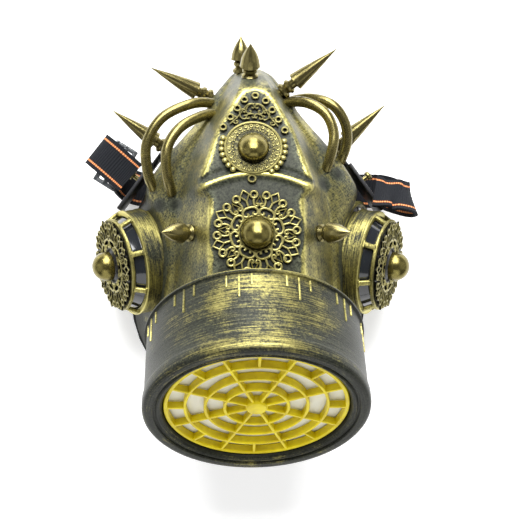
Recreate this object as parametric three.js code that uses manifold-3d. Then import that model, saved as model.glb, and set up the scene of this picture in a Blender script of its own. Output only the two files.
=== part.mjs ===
// A gas mask style costume mask: an antique brass half mask with a round filter canister, two drums,
// hose tubes, spikes, cast ornaments and an elastic head strap. It lies face up on its rim.
// Millimetres. +X is the wearer's left side, +Y points to the nose bridge, +Z out of the face.
import * as THREE from "three";
import { mergeVertices } from "three/addons/utils/BufferGeometryUtils.js";
import Module from "manifold-3d";

// Driving dimensions of the mask body
const noseReach = 87;
const chinReach = 73;
const halfWidth = 56;
const crownHeight = 91;
const wall = 2.2;
const gap = 0.3;
const edgeRidge = 0.6;
const browBeadRadius = 1.4;
const sealWidth = 4.2;
const sealHeight = 2.4;

// Filter canister
const canisterRadius = 45.5;
const canisterLength = 37;
const canisterWall = 3;
const canisterTilt = THREE.MathUtils.degToRad(50);
const canisterLip = 0.5;
const canisterSeat = new THREE.Vector3(0, -0.448 * chinReach, 0.69 * crownHeight);
const inletRadius = 14;
const faceRingWidth = 8.4;
const grilleDepth = 2.7;
const bladeThickness = 1.1;
const bladeDepth = 2.2;
const hubRadius = 4.4;
const padThickness = 6;

// Drums on the cheeks
const drumRadius = 23.6;
const drumLength = 15;
const drumBand = 9;
const drumFrontRing = 1.6;
const drumFrontRadius = 20.6;
const drumWall = 2.4;
const drumBars = 8;
const drumBarWidth = 3;
const drumSeat = new THREE.Vector3(0.852 * halfWidth, 0, 0.322 * crownHeight);
const drumOutward = new THREE.Vector3(0.89, -0.15, 0.43).normalize();
const drumBossDepth = 12;

// Cast ornaments and their domes
const wire = 1;
const wireHeight = 1.6;
const domeRadius = 6.5;
const domeHeight = 8;
const frontOrnamentRadius = 18.2;
const canisterTopY = canisterSeat.y + (canisterRadius + canisterLip) * Math.cos(canisterTilt);
const frontOrnamentY = canisterTopY + 0.76 * frontOrnamentRadius;
const noseMedallionRadius = 11.9;
const noseMedallionY = 0.53 * noseReach;
const drumOrnamentRadius = 20.4;

// Hose tubes and spikes
const tubeRadius = 2.05;
const longCone = 23;
const longConeRadius = 4;
const shortCone = 8.5;
const shortConeRadius = 4.3;
const collarRadius = 3.5;
const collarLength = 5.4;
const neckLength = 2.4;
const stemLength = 12;

// Head strap, its side plates, slides and studs
const strapWidth = 16.2;
const strapThickness = 1.5;
const plateHeight = 20;
const plateThickness = 1.6;
const plateTop = 0.352 * crownHeight;
const plateTongue = 8;
const slideLength = 26;
const slideWidth = 11;
const slideThickness = 2.4;
const slideBar = 2;
const studRadius = 2.2;
const studLength = 4.4;

const wasm = await Module();
wasm.setup();

// Materials: colour, roughness and metalness of each finish
const finish = (color, roughness, metalness) =>
  new THREE.MeshStandardMaterial({ color, roughness, metalness });
const antiquePaint = finish(0x4a4c36, 0.45, 0.55);
const brass = finish(0x9a7c34, 0.38, 0.9);
const paleBrass = finish(0xb9a768, 0.42, 0.85);
const yellowPlastic = finish(0xe0d21c, 0.4, 0);
const filterFelt = finish(0xe9ebdc, 0.9, 0);
const blackRubber = finish(0x15161a, 0.7, 0);
const glossBlack = finish(0x101214, 0.15, 0.1);
const elasticWeb = finish(0x1e2026, 0.85, 0);
const smokePlastic = finish(0x3b3f45, 0.2, 0);

const group = new THREE.Group();

function addMesh(name, geometry, material, parent = group) {
  const mesh = new THREE.Mesh(geometry, material);
  mesh.name = name;
  parent.add(mesh);
  return mesh;
}

// Booleans: a three.js geometry goes in and comes out again
function toSolid(geometry) {
  const bare = geometry.clone();
  bare.deleteAttribute("normal");
  bare.deleteAttribute("uv");
  const merged = mergeVertices(bare, 1e-4);
  const index = Uint32Array.from(merged.index.array);
  const points = Float32Array.from(merged.attributes.position.array);
  return new wasm.Manifold(new wasm.Mesh({ numProp: 3, vertProperties: points, triVerts: index }));
}

function toGeometry(solid) {
  const mesh = solid.getMesh();
  const geometry = new THREE.BufferGeometry();
  geometry.setAttribute("position", new THREE.BufferAttribute(mesh.vertProperties, 3));
  geometry.setIndex(new THREE.BufferAttribute(mesh.triVerts, 1));
  geometry.computeVertexNormals();
  return geometry;
}

const unite = (geometries) => toGeometry(wasm.Manifold.union(geometries.map(toSolid)).simplify(0.04));

// Lofting: a closed solid between two grids of points with the same rows and columns
function gridSolid(outer, inner) {
  const rows = outer.length;
  const columns = outer[0].length;
  const positions = [...outer.flat(), ...inner.flat()].flatMap((p) => [p.x, p.y, p.z]);
  const inside = rows * columns;
  const at = (row, column) => row * columns + column;
  const index = [];
  const quad = (a, b, c, d) => index.push(a, b, c, a, c, d);
  for (let row = 0; row < rows - 1; row++) {
    for (let column = 0; column < columns - 1; column++) {
      const corners = [at(row, column), at(row, column + 1), at(row + 1, column + 1), at(row + 1, column)];
      quad(...corners);
      quad(...corners.map((corner) => corner + inside).reverse());
    }
  }
  const border = [];
  for (let column = 0; column < columns - 1; column++) border.push(at(0, column));
  for (let row = 0; row < rows - 1; row++) border.push(at(row, columns - 1));
  for (let column = columns - 1; column > 0; column--) border.push(at(rows - 1, column));
  for (let row = rows - 1; row > 0; row--) border.push(at(row, 0));
  border.forEach((corner, n) => {
    const next = border[(n + 1) % border.length];
    quad(next, corner, corner + inside, next + inside);
  });
  const geometry = new THREE.BufferGeometry();
  geometry.setAttribute("position", new THREE.Float32BufferAttribute(positions, 3));
  geometry.setIndex(index);
  return outwards(geometry);
}

function outwards(geometry) {
  const points = geometry.attributes.position;
  const index = geometry.index.array;
  let volume = 0;
  const [a, b, c] = [new THREE.Vector3(), new THREE.Vector3(), new THREE.Vector3()];
  for (let n = 0; n < index.length; n += 3) {
    a.fromBufferAttribute(points, index[n]);
    b.fromBufferAttribute(points, index[n + 1]);
    c.fromBufferAttribute(points, index[n + 2]);
    volume += a.dot(b.cross(c));
  }
  if (volume < 0) geometry.setIndex(Array.from(index).reverse());
  geometry.computeVertexNormals();
  return geometry;
}

// Sections of the mask body from the nose bridge to the chin, right half. along is a share of noseReach
// above the middle and of chinReach below it, Up values are shares of crownHeight and Out values are
// shares of halfWidth. crown is the flat panel on top, foot is where its side wall ends, wing the
// cheek's edge and rim the open border.
const sections = [
  {
    along: 0.995,
    crownOut: 0.03, crownUp: 0.345, footOut: 0.07, footUp: 0.33,
    wingOut: 0.085, wingUp: 0.31, rimOut: 0.09, rimUp: 0.285,
  },
  {
    along: 0.965,
    crownOut: 0.06, crownUp: 0.43, footOut: 0.12, footUp: 0.37,
    wingOut: 0.16, wingUp: 0.33, rimOut: 0.165, rimUp: 0.25,
  },
  {
    along: 0.92,
    crownOut: 0.08, crownUp: 0.545, footOut: 0.165, footUp: 0.41,
    wingOut: 0.215, wingUp: 0.355, rimOut: 0.225, rimUp: 0.22,
  },
  {
    along: 0.87,
    crownOut: 0.1, crownUp: 0.65, footOut: 0.2, footUp: 0.44,
    wingOut: 0.275, wingUp: 0.375, rimOut: 0.29, rimUp: 0.195,
  },
  {
    along: 0.825,
    crownOut: 0.115, crownUp: 0.725, footOut: 0.23, footUp: 0.47,
    wingOut: 0.32, wingUp: 0.395, rimOut: 0.34, rimUp: 0.175,
  },
  {
    along: 0.77,
    crownOut: 0.15, crownUp: 0.755, footOut: 0.26, footUp: 0.5,
    wingOut: 0.36, wingUp: 0.41, rimOut: 0.385, rimUp: 0.16,
  },
  {
    along: 0.69,
    crownOut: 0.215, crownUp: 0.785, footOut: 0.32, footUp: 0.54,
    wingOut: 0.455, wingUp: 0.43, rimOut: 0.48, rimUp: 0.14,
  },
  {
    along: 0.61,
    crownOut: 0.275, crownUp: 0.82, footOut: 0.385, footUp: 0.575,
    wingOut: 0.56, wingUp: 0.45, rimOut: 0.595, rimUp: 0.12,
  },
  {
    along: 0.48,
    crownOut: 0.345, crownUp: 0.868, footOut: 0.46, footUp: 0.615,
    wingOut: 0.725, wingUp: 0.465, rimOut: 0.775, rimUp: 0.1,
  },
  {
    along: 0.345,
    crownOut: 0.405, crownUp: 0.907, footOut: 0.52, footUp: 0.64,
    wingOut: 0.83, wingUp: 0.46, rimOut: 0.885, rimUp: 0.085,
  },
  {
    along: 0.275,
    crownOut: 0.338, crownUp: 0.925, footOut: 0.545, footUp: 0.65,
    wingOut: 0.79, wingUp: 0.48, rimOut: 0.93, rimUp: 0.07,
  },
  {
    along: 0.17,
    crownOut: 0.336, crownUp: 0.948, footOut: 0.56, footUp: 0.66,
    wingOut: 0.735, wingUp: 0.505, rimOut: 0.97, rimUp: 0.04,
  },
  {
    along: 0,
    crownOut: 0.336, crownUp: 0.978, footOut: 0.57, footUp: 0.67,
    wingOut: 0.715, wingUp: 0.515, rimOut: 1, rimUp: 0.04,
  },
  {
    along: -0.203,
    crownOut: 0.336, crownUp: 0.995, footOut: 0.585, footUp: 0.66,
    wingOut: 0.715, wingUp: 0.495, rimOut: 1, rimUp: 0.04,
  },
  {
    along: -0.411,
    crownOut: 0.32, crownUp: 0.96, footOut: 0.575, footUp: 0.6,
    wingOut: 0.71, wingUp: 0.44, rimOut: 0.965, rimUp: 0.04,
  },
  {
    along: -0.596,
    crownOut: 0.3, crownUp: 0.83, footOut: 0.535, footUp: 0.48,
    wingOut: 0.69, wingUp: 0.33, rimOut: 0.87, rimUp: 0.04,
  },
  {
    along: -0.751,
    crownOut: 0.24, crownUp: 0.48, footOut: 0.45, footUp: 0.32,
    wingOut: 0.58, wingUp: 0.22, rimOut: 0.72, rimUp: 0.04,
  },
  {
    along: -0.882,
    crownOut: 0.15, crownUp: 0.22, footOut: 0.33, footUp: 0.17,
    wingOut: 0.43, wingUp: 0.12, rimOut: 0.53, rimUp: 0.04,
  },
  {
    along: -1,
    crownOut: 0.06, crownUp: 0.075, footOut: 0.14, footUp: 0.07,
    wingOut: 0.19, wingUp: 0.06, rimOut: 0.23, rimUp: 0.04,
  },
];
const columnsOfRow = Object.keys(sections[0]);

// A value of the table between its rows, with slopes that never overshoot
function between(y, column) {
  const places = sections.map(({ along }) => along * (along > 0 ? noseReach : chinReach));
  const last = sections.length - 2;
  const below = places.findIndex((place) => place <= y);
  const n = below < 0 ? last : THREE.MathUtils.clamp(below - 1, 0, last);
  const slope = (m) => (sections[m + 1][column] - sections[m][column]) / (places[m + 1] - places[m]);
  const tangent = (m) => {
    if (m === 0) return slope(0);
    if (m === last + 1) return slope(last);
    const [before, after] = [slope(m - 1), slope(m)];
    return before * after <= 0 ? 0 : (2 * before * after) / (before + after);
  };
  const span = places[n + 1] - places[n];
  const t = THREE.MathUtils.clamp((y - places[n]) / span, 0, 1);
  const [t2, t3] = [t * t, t * t * t];
  return (
    sections[n][column] * (2 * t3 - 3 * t2 + 1) +
    tangent(n) * span * (t3 - 2 * t2 + t) +
    sections[n + 1][column] * (3 * t2 - 2 * t3) +
    tangent(n + 1) * span * (t3 - t2)
  );
}

const crownHeightAt = (y) => between(y, "crownUp") * crownHeight;

// One section's points from the left rim over the crown to the right rim
function sectionPoints(y) {
  const s = Object.fromEntries(columnsOfRow.map((column) => [column, between(y, column)]));
  const size = Math.min(1, s.crownOut / 0.3);
  const [crown, foot] = [s.crownOut * halfWidth, s.footOut * halfWidth];
  const [top, low] = [s.crownUp * crownHeight, s.footUp * crownHeight];
  const [wing, edge] = [s.wingOut * halfWidth, s.wingUp * crownHeight];
  const [rim, bottom] = [s.rimOut * halfWidth, s.rimUp * crownHeight];
  const ridge = edgeRidge * size;
  const half = [
    [crown - 3 * ridge, top - ridge],
    [crown - ridge, top],
    [crown + ridge, top - 2 * ridge],
    [THREE.MathUtils.lerp(crown, foot, 0.8), THREE.MathUtils.lerp(top, low, 0.78)],
    [THREE.MathUtils.lerp(foot, wing, 0.12), THREE.MathUtils.lerp(low, edge, 0.18)],
    [THREE.MathUtils.lerp(foot, wing, 0.7), THREE.MathUtils.lerp(low, edge, 0.55)],
    [wing, edge],
    [THREE.MathUtils.lerp(wing, rim, 0.36), THREE.MathUtils.lerp(edge, bottom, 0.3)],
    [rim, bottom],
  ];
  const mirrored = half.map(([x, z]) => [-x, z]).reverse();
  return [...mirrored, [0, top - ridge], ...half].map(([x, z]) => new THREE.Vector3(x, y, z));
}

function normalsOf(grid) {
  const reach = (list, n) => list[Math.max(0, Math.min(list.length - 1, n))];
  return grid.map((row, r) =>
    row.map((_, c) => {
      const along = reach(grid, r + 1)[c].clone().sub(reach(grid, r - 1)[c]);
      const across = reach(row, c + 1).clone().sub(reach(row, c - 1));
      return across.cross(along).negate().normalize();
    }),
  );
}

const shifted = (grid, normals, distance) =>
  grid.map((row, r) => row.map((point, c) => point.clone().addScaledVector(normals[r][c], distance)));

const rowCount = 18;
const top = sections[0].along * noseReach;
const chin = -chinReach;
const shellRows = Array.from({ length: rowCount + 1 }, (_, n) =>
  THREE.MathUtils.lerp(top, chin, n / rowCount),
);
const bodyGrid = shellRows.map(sectionPoints);
const bodyNormals = normalsOf(bodyGrid);

// Everything that stands on the body is cut by this solid, so that it follows the surface at the gap
const cutterTop = shifted(bodyGrid, bodyNormals, gap);
const cutterBottom = cutterTop.map((row) => row.map((point) => new THREE.Vector3(point.x, point.y, -20)));
const bodyCutter = toSolid(gridSolid(cutterTop, cutterBottom));

// The plane where the canister closes the body
const canisterAxis = new THREE.Vector3(0, -Math.sin(canisterTilt), Math.cos(canisterTilt));

function beyondCanisterPlane(distance) {
  const block = new THREE.BoxGeometry(4 * halfWidth, 4 * halfWidth, 2 * halfWidth);
  block.translate(0, 0, halfWidth);
  block.rotateX(canisterTilt);
  const place = canisterSeat.clone().addScaledVector(canisterAxis, distance);
  return toSolid(block.translate(place.x, place.y, place.z));
}

// The brow bead arches over the lower panel, half sunk in it
function browBead(radius) {
  const beadEnd = 0.33 * noseReach;
  const beadCrest = 0.4 * noseReach;
  const beadOut = 0.4 * halfWidth;
  const arch = [-1, -0.68, -0.3, 0.3, 0.68, 1].map((share) => {
    const y = THREE.MathUtils.lerp(beadCrest, beadEnd, share * share);
    return new THREE.Vector3(share * beadOut, y, crownHeightAt(y) - browBeadRadius * 0.4);
  });
  return toSolid(sweep(arch, radius, 6, 8));
}

// A place given as shares of the body's half width, nose reach and crown height
const placed = ({ x, y, z }) => new THREE.Vector3(x * halfWidth, y * noseReach, z * crownHeight);

function seatOnBody(mesh) {
  mesh.updateWorldMatrix(true, false);
  const world = mesh.geometry.clone().applyMatrix4(mesh.matrixWorld);
  const cut = toGeometry(toSolid(world).subtract(bodyCutter));
  mesh.geometry = cut.applyMatrix4(mesh.matrixWorld.clone().invert());
  return mesh;
}

function sweep(points, radius, sides, steps) {
  const circle = new THREE.Shape(
    Array.from({ length: sides }, (_, n) => {
      const angle = (2 * Math.PI * n) / sides;
      return new THREE.Vector2(radius * Math.cos(angle), radius * Math.sin(angle));
    }),
  );
  const path = new THREE.CatmullRomCurve3(points, false, "centripetal");
  return new THREE.ExtrudeGeometry(circle, { steps, extrudePath: path, bevelEnabled: false });
}

const bowl = toSolid(gridSolid(bodyGrid, shifted(bodyGrid, bodyNormals, -wall)));

// Mask body: a thin bowl with the brow bead on its panel, open where the canister seats
function makeBody() {
  const body = bowl.add(browBead(browBeadRadius)).subtract(beyondCanisterPlane(-gap));
  addMesh("mask_body", toGeometry(body), antiquePaint);
}

function ringProfile(points, segments) {
  const profile = points.map(([r, s]) => new THREE.Vector2(r, s));
  return new THREE.LatheGeometry(profile, segments).rotateX(Math.PI / 2);
}

const closedRing = (inner, outer, from, to, segments) =>
  ringProfile([[inner, from], [outer, from], [outer, to], [inner, to], [inner, from]], segments);

// Canister, grille and pad, in a group whose +Z is the canister's axis and whose origin is its seat
function makeCanister() {
  const canister = new THREE.Group();
  canister.position.copy(canisterSeat);
  canister.rotation.x = canisterTilt;
  group.add(canister);
  const faceInner = canisterRadius - faceRingWidth;
  const grilleTop = canisterLength - grilleDepth;
  const grilleBottom = grilleTop - bladeDepth;
  const padBottom = grilleBottom - gap - padThickness;
  const shelf = padBottom - gap;
  const housing = [
    [inletRadius, 0],
    [canisterRadius + canisterLip, 0],
    [canisterRadius + canisterLip, 1],
    [canisterRadius - 0.6, 1.6],
    [canisterRadius - 0.6, canisterLength - 6],
    [canisterRadius, canisterLength - 5],
    [canisterRadius, canisterLength - 1.2],
    [canisterRadius - 1.2, canisterLength],
    [faceInner + 3, canisterLength],
    [faceInner + gap, canisterLength - 1],
    [faceInner + gap, shelf],
    [faceInner - canisterWall, shelf],
    [faceInner - canisterWall, canisterWall],
    [inletRadius, canisterWall],
    [inletRadius, 0],
  ];
  addMesh("filter_canister", ringProfile(housing, 28), antiquePaint, canister);
  const padRadius = faceInner - gap;
  const pad = new THREE.CylinderGeometry(padRadius, padRadius, padThickness, 28).rotateX(Math.PI / 2);
  addMesh("filter_pad", pad.translate(0, 0, padBottom + padThickness / 2), filterFelt, canister);
  const rings = [
    { share: 0.345, segments: 16 },
    { share: 0.555, segments: 16 },
    { share: 0.77, segments: 16 },
  ];
  const blades = rings.map(({ share, segments }) => {
    const middle = share * faceInner;
    const [inner, outer] = [middle - bladeThickness / 2, middle + bladeThickness / 2];
    const ring = closedRing(inner, outer, grilleBottom, grilleTop, segments);
    return ring.rotateZ(Math.PI / segments);
  });
  const rim = closedRing(faceInner - 1.6, faceInner - gap / 2, grilleBottom, grilleTop, 32);
  blades.push(rim.rotateZ(Math.PI / 32));
  const hub = new THREE.CylinderGeometry(hubRadius, hubRadius, bladeDepth + 0.6, 12).rotateX(Math.PI / 2);
  blades.push(hub.translate(0, 0, grilleBottom + bladeDepth / 2 + 0.3));
  for (let n = 0; n < 16; n++) {
    const start = n % 2 === 1 ? hubRadius - 1 : rings[2].share * faceInner;
    const length = faceInner - 1 - start;
    const spoke = new THREE.BoxGeometry(length, bladeThickness, bladeDepth - 0.2);
    spoke.translate(start + length / 2, 0, grilleBottom + bladeDepth / 2);
    blades.push(spoke.rotateZ((n * Math.PI) / 8));
  }
  addMesh("filter_grille", unite(blades), yellowPlastic, canister);
}

// Flat pieces of the cast ornaments, drawn in a plane and raised by a height
function polygon(count, radiusX, radiusY = radiusX, turn = 0) {
  return Array.from({ length: count }, (_, n) => {
    const angle = turn + (2 * Math.PI * n) / count;
    return new THREE.Vector2(radiusX * Math.cos(angle), radiusY * Math.sin(angle));
  });
}

function raise(outline, holes, height) {
  const shape = new THREE.Shape(outline);
  for (const hole of holes) shape.holes.push(new THREE.Path(hole));
  return new THREE.ExtrudeGeometry(shape, { depth: height, bevelEnabled: false, steps: 1 });
}

const loop = (radius, width, count, height = wireHeight) =>
  raise(polygon(count, radius), [polygon(count, radius - width)], height);

// A C-shaped scroll with its open side turned inwards
function scroll(radius, width, count) {
  const arc = (r, sign) =>
    Array.from({ length: count + 1 }, (_, n) => {
      const angle = sign * (-2.8 + (5.6 * n) / count);
      return new THREE.Vector2(r * Math.cos(angle), r * Math.sin(angle));
    });
  return raise([...arc(radius, 1), ...arc(radius - width, -1)], [], wireHeight);
}

const around = (count, turn, make) =>
  Array.from({ length: count }, (_, n) => make(n).rotateZ(turn + (2 * Math.PI * n) / count));

const polar = (radius, angle) => new THREE.Vector2(radius * Math.cos(angle), radius * Math.sin(angle));

// A round rosette: a petal with a round hole for each step, a pointed tip or a notch between the petals,
// a ring inside them and eight bars to a disc that carries the dome
function rosette(radius, petals, tips) {
  const step = (2 * Math.PI) / petals;
  const notch = 0.8 * radius;
  const ring = 0.68 * radius;
  const petalHole = Math.min((radius - ring) / 2 - wire * 0.6, radius * Math.sin(step / 4) - wire / 2);
  const outline = [];
  const holes = [];
  for (let n = 0; n < petals; n++) {
    const angle = n * step;
    const spread = tips ? 0.2 * step : 0.3 * step;
    const shoulder = 0.93 * radius;
    outline.push(polar(shoulder, angle - spread), polar(radius, angle), polar(shoulder, angle + spread));
    if (tips) {
      outline.push(polar(notch, angle + 0.32 * step), polar(radius + 0.6, angle + step / 2));
      outline.push(polar(notch, angle + 0.68 * step));
      const low = ring + wire;
      const tip = polar(0.92 * radius, angle + 0.5 * step);
      holes.push([polar(low, angle + 0.4 * step), tip, polar(low, angle + 0.6 * step)]);
    } else {
      outline.push(polar(notch + wire, angle + step / 2));
    }
    const middle = polar(radius - wire - petalHole, angle);
    holes.push(polygon(6, petalHole, petalHole, angle).map((point) => point.add(middle)));
  }
  for (let n = 0; n < 8; n++) {
    const [from, to] = [((n + 0.08) * Math.PI) / 4, ((n + 0.92) * Math.PI) / 4];
    const [inner, outer] = [domeRadius + 0.4, ring - wire];
    const outerSide = [polar(outer, from), polar(outer, (from + to) / 2), polar(outer, to)];
    holes.push([polar(inner, from), ...outerSide, polar(inner, to)]);
  }
  return raise(outline, holes, wireHeight);
}

function dome(radius, height) {
  const steps = 3;
  const arc = Array.from({ length: steps + 1 }, (_, n) => {
    const angle = (n / steps) * (Math.PI / 2);
    return [radius * Math.cos(angle), height - radius + radius * Math.sin(angle)];
  });
  arc[steps][0] = 0;
  return ringProfile([[0, 0], [radius, 0], ...arc], 12);
}

// Lays a flat ornament on the crown panel: its plane follows the panel's slope
function onCrown(name, geometry, middle, lift, material) {
  const points = geometry.attributes.position;
  const slope = (crownHeightAt(middle + 1) - crownHeightAt(middle - 1)) / 2;
  const shorter = 1 / Math.hypot(1, slope);
  for (let n = 0; n < points.count; n++) {
    const y = middle + points.getY(n) * shorter;
    points.setXYZ(n, points.getX(n), y, crownHeightAt(y) + lift + points.getZ(n));
  }
  geometry.computeVertexNormals();
  return addMesh(name, geometry, material);
}

// Front ornament: a rosette on the lower panel
function makeFrontOrnament() {
  const flat = rosette(frontOrnamentRadius, 8, true);
  const ornament = onCrown("front_ornament", flat, frontOrnamentY, gap, paleBrass);
  ornament.geometry = toGeometry(toSolid(ornament.geometry).subtract(beyondCanisterPlane(-gap)));
  onCrown("front_dome", dome(domeRadius, domeHeight), frontOrnamentY, wireHeight + 2 * gap, brass);
}

// Nose ornament: a round medallion with beads, small rings up both sides and a pendant ring below
function makeNoseOrnament() {
  const radius = noseMedallionRadius;
  const sideRings = [
    { out: 0.37, up: 1.68, size: 0.235 },
    { out: 0.61, up: 1.34, size: 0.235 },
    { out: 0.85, up: 1, size: 0.235 },
    { out: 1.03, up: 0.62, size: 0.235 },
  ];
  const medallion = ringProfile(
    [
      [0, 0],
      [radius, 0],
      [radius, 1.3 * wireHeight],
      [radius - 1.5 * wire, 1.3 * wireHeight],
      [radius - 1.5 * wire, 0.5 * wireHeight],
      [0, 0.5 * wireHeight],
    ],
    20,
  );
  const pieces = [
    medallion,
    loop(0.24 * radius, wire, 8).translate(0, 1.88 * radius, 0),
    loop(0.22 * radius, wire, 8).translate(0, -1.17 * radius, 0),
  ];
  for (const side of [-1, 1]) {
    for (const ring of sideRings) {
      const small = loop(ring.size * radius, 0.9 * wire, 6);
      pieces.push(small.translate(side * ring.out * radius, ring.up * radius, 0));
    }
    const turn = side > 0 ? 0.7 : Math.PI - 0.7;
    const curl = scroll(0.34 * radius, wire, 5).rotateZ(turn);
    pieces.push(curl.translate(side * 0.2 * radius, 1.26 * radius, 0));
  }
  const ornament = onCrown("nose_ornament", unite(pieces), noseMedallionY, gap, paleBrass);
  ornament.geometry = toGeometry(toSolid(ornament.geometry).subtract(browBead(browBeadRadius + gap)));
  onCrown("nose_dome", dome(domeRadius, domeHeight), noseMedallionY, 0.5 * wireHeight + 2 * gap, brass);
}

// Drums: a banded housing with windows, a dark core, a rosette and a dome, for each cheek
function makeDrum(side, word) {
  const drum = new THREE.Group();
  drum.position.set(side * drumSeat.x, drumSeat.y, drumSeat.z);
  const outward = drumOutward.clone().setX(side * drumOutward.x);
  drum.quaternion.setFromUnitVectors(new THREE.Vector3(0, 0, 1), outward);
  group.add(drum);
  const inner = drumRadius - drumWall;
  const back = ringProfile(
    [
      [0, -drumBossDepth],
      [drumRadius - 1.6, -drumBossDepth],
      [drumRadius - 1.6, 0],
      [drumRadius, 0],
      [drumRadius, drumBand],
      [inner, drumBand],
      [inner, 2],
      [0, 2],
    ],
    20,
  );
  const opening = drumFrontRadius - drumWall;
  const frontRing = closedRing(opening, drumFrontRadius, drumLength - drumFrontRing, drumLength, 20);
  const barDepth = drumWall - 0.8;
  const [foot, head] = [
    new THREE.Vector2(drumRadius - drumWall / 2, drumBand - 0.5),
    new THREE.Vector2(drumFrontRadius - drumWall / 2, drumLength - drumFrontRing + 0.5),
  ];
  const reach = head.clone().sub(foot);
  const bars = around(drumBars, 0.31, () => {
    const bar = new THREE.BoxGeometry(barDepth, drumBarWidth, reach.length());
    bar.rotateY(Math.atan2(reach.x, reach.y));
    return bar.translate((foot.x + head.x) / 2, 0, (foot.y + head.y) / 2);
  });
  seatOnBody(addMesh(`drum_housing_${word}`, unite([back, frontRing, ...bars]), antiquePaint, drum));
  const coreRadius = opening - gap;
  const coreLength = drumLength - 2 - gap;
  const core = new THREE.CylinderGeometry(coreRadius, coreRadius, coreLength, 24).rotateX(Math.PI / 2);
  addMesh(`drum_core_${word}`, core.translate(0, 0, 2 + gap + coreLength / 2), glossBlack, drum);
  const plate = rosette(drumOrnamentRadius, 12, false);
  const plateAt = drumLength + gap;
  addMesh(`drum_ornament_${word}`, plate.translate(0, 0, plateAt), paleBrass, drum);
  const cap = dome(domeRadius, domeHeight).translate(0, 0, plateAt + wireHeight + gap);
  addMesh(`drum_dome_${word}`, cap, brass, drum);
}

// Hose tubes: each bends from the nose's side to the cheek. x, y and z are shares of halfWidth,
// noseReach and crownHeight.
const tubeRoutes = {
  tube_outer_left: [
    { x: -0.16, y: 0.78, z: 0.34 },
    { x: -0.31, y: 0.8, z: 0.42 },
    { x: -0.48, y: 0.785, z: 0.49 },
    { x: -0.7, y: 0.71, z: 0.53 },
    { x: -0.82, y: 0.58, z: 0.54 },
    { x: -0.815, y: 0.44, z: 0.53 },
    { x: -0.76, y: 0.34, z: 0.49 },
    { x: -0.71, y: 0.27, z: 0.39 },
  ],
  tube_inner_left: [
    { x: -0.14, y: 0.7, z: 0.42 },
    { x: -0.3, y: 0.735, z: 0.48 },
    { x: -0.42, y: 0.71, z: 0.545 },
    { x: -0.56, y: 0.65, z: 0.6 },
    { x: -0.65, y: 0.56, z: 0.625 },
    { x: -0.665, y: 0.46, z: 0.63 },
    { x: -0.635, y: 0.355, z: 0.61 },
    { x: -0.59, y: 0.27, z: 0.52 },
  ],
  tube_inner_right: [
    { x: 0.12, y: 0.76, z: 0.4 },
    { x: 0.26, y: 0.8, z: 0.45 },
    { x: 0.42, y: 0.79, z: 0.52 },
    { x: 0.56, y: 0.73, z: 0.565 },
    { x: 0.62, y: 0.635, z: 0.58 },
    { x: 0.605, y: 0.54, z: 0.585 },
    { x: 0.56, y: 0.445, z: 0.56 },
    { x: 0.53, y: 0.37, z: 0.47 },
  ],
  tube_outer_right: [
    { x: 0.1, y: 0.78, z: 0.33 },
    { x: 0.27, y: 0.815, z: 0.375 },
    { x: 0.45, y: 0.825, z: 0.45 },
    { x: 0.62, y: 0.785, z: 0.505 },
    { x: 0.72, y: 0.7, z: 0.505 },
    { x: 0.745, y: 0.6, z: 0.485 },
    { x: 0.7, y: 0.505, z: 0.455 },
    { x: 0.65, y: 0.43, z: 0.37 },
  ],
};

function makeTubes() {
  for (const [name, route] of Object.entries(tubeRoutes)) {
    seatOnBody(addMesh(name, sweep(route.map(placed), tubeRadius, 6, 11), brass));
  }
}

// Spikes: a stem in the body, a double ring collar, a neck and a cone
function spike(cone, radius, collar) {
  const neck = 0.5 * collar;
  const coneAt = collarLength + neckLength;
  const profile = [
    [0, -stemLength],
    [neck, -stemLength],
    [neck, 0],
    [collar, 0],
    [collar, 0.46 * collarLength],
    [0.7 * collar, 0.55 * collarLength],
    [0.9 * collar, 0.64 * collarLength],
    [0.9 * collar, collarLength],
    [neck, coneAt],
    [radius, coneAt],
    [0, coneAt + cone],
  ];
  return ringProfile(profile, 7);
}

// Where each spike stands and points: x, y and z are shares of halfWidth, noseReach and crownHeight,
// turn is its direction seen from the front and rise its angle up from the rim's plane, in degrees.
const spikes = [
  { name: "spike_upper_left", x: -0.33, y: 0.838, z: 0.363, turn: 156.6, rise: 20.5, long: true },
  { name: "spike_upper_right", x: 0.235, y: 0.855, z: 0.45, turn: 37, rise: 17, long: true },
  { name: "spike_side_left", x: -0.67, y: 0.57, z: 0.33, turn: 145.7, rise: 16.4, long: true },
  { name: "spike_side_right", x: 0.67, y: 0.575, z: 0.33, turn: 41.3, rise: 14.7, long: true },
  { name: "spike_front_left", x: -0.47, y: 0.127, z: 0.8, turn: 180, rise: 45, long: false },
  { name: "spike_front_right", x: 0.47, y: 0.127, z: 0.8, turn: 0, rise: 45, long: false },
  { name: "spike_top_front", x: -0.027, y: 0.9, z: 0.571, turn: 90, rise: 37, long: false },
  { name: "spike_top_rear", x: -0.09, y: 0.96, z: 0.4, turn: 90, rise: 17, long: false },
];

function makeSpikes() {
  for (const row of spikes) {
    const { name, turn, rise, long } = row;
    const geometry = long
      ? spike(longCone, longConeRadius, 0.92 * collarRadius)
      : spike(shortCone, shortConeRadius, collarRadius);
    const mesh = addMesh(name, geometry, brass);
    mesh.position.copy(placed(row));
    const [heading, lift] = [THREE.MathUtils.degToRad(turn), THREE.MathUtils.degToRad(rise)];
    const flat = new THREE.Vector3(Math.cos(heading), Math.sin(heading), 0);
    const direction = flat.multiplyScalar(Math.cos(lift)).setZ(Math.sin(lift));
    mesh.quaternion.setFromUnitVectors(new THREE.Vector3(0, 0, 1), direction);
    seatOnBody(mesh);
  }
}

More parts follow.
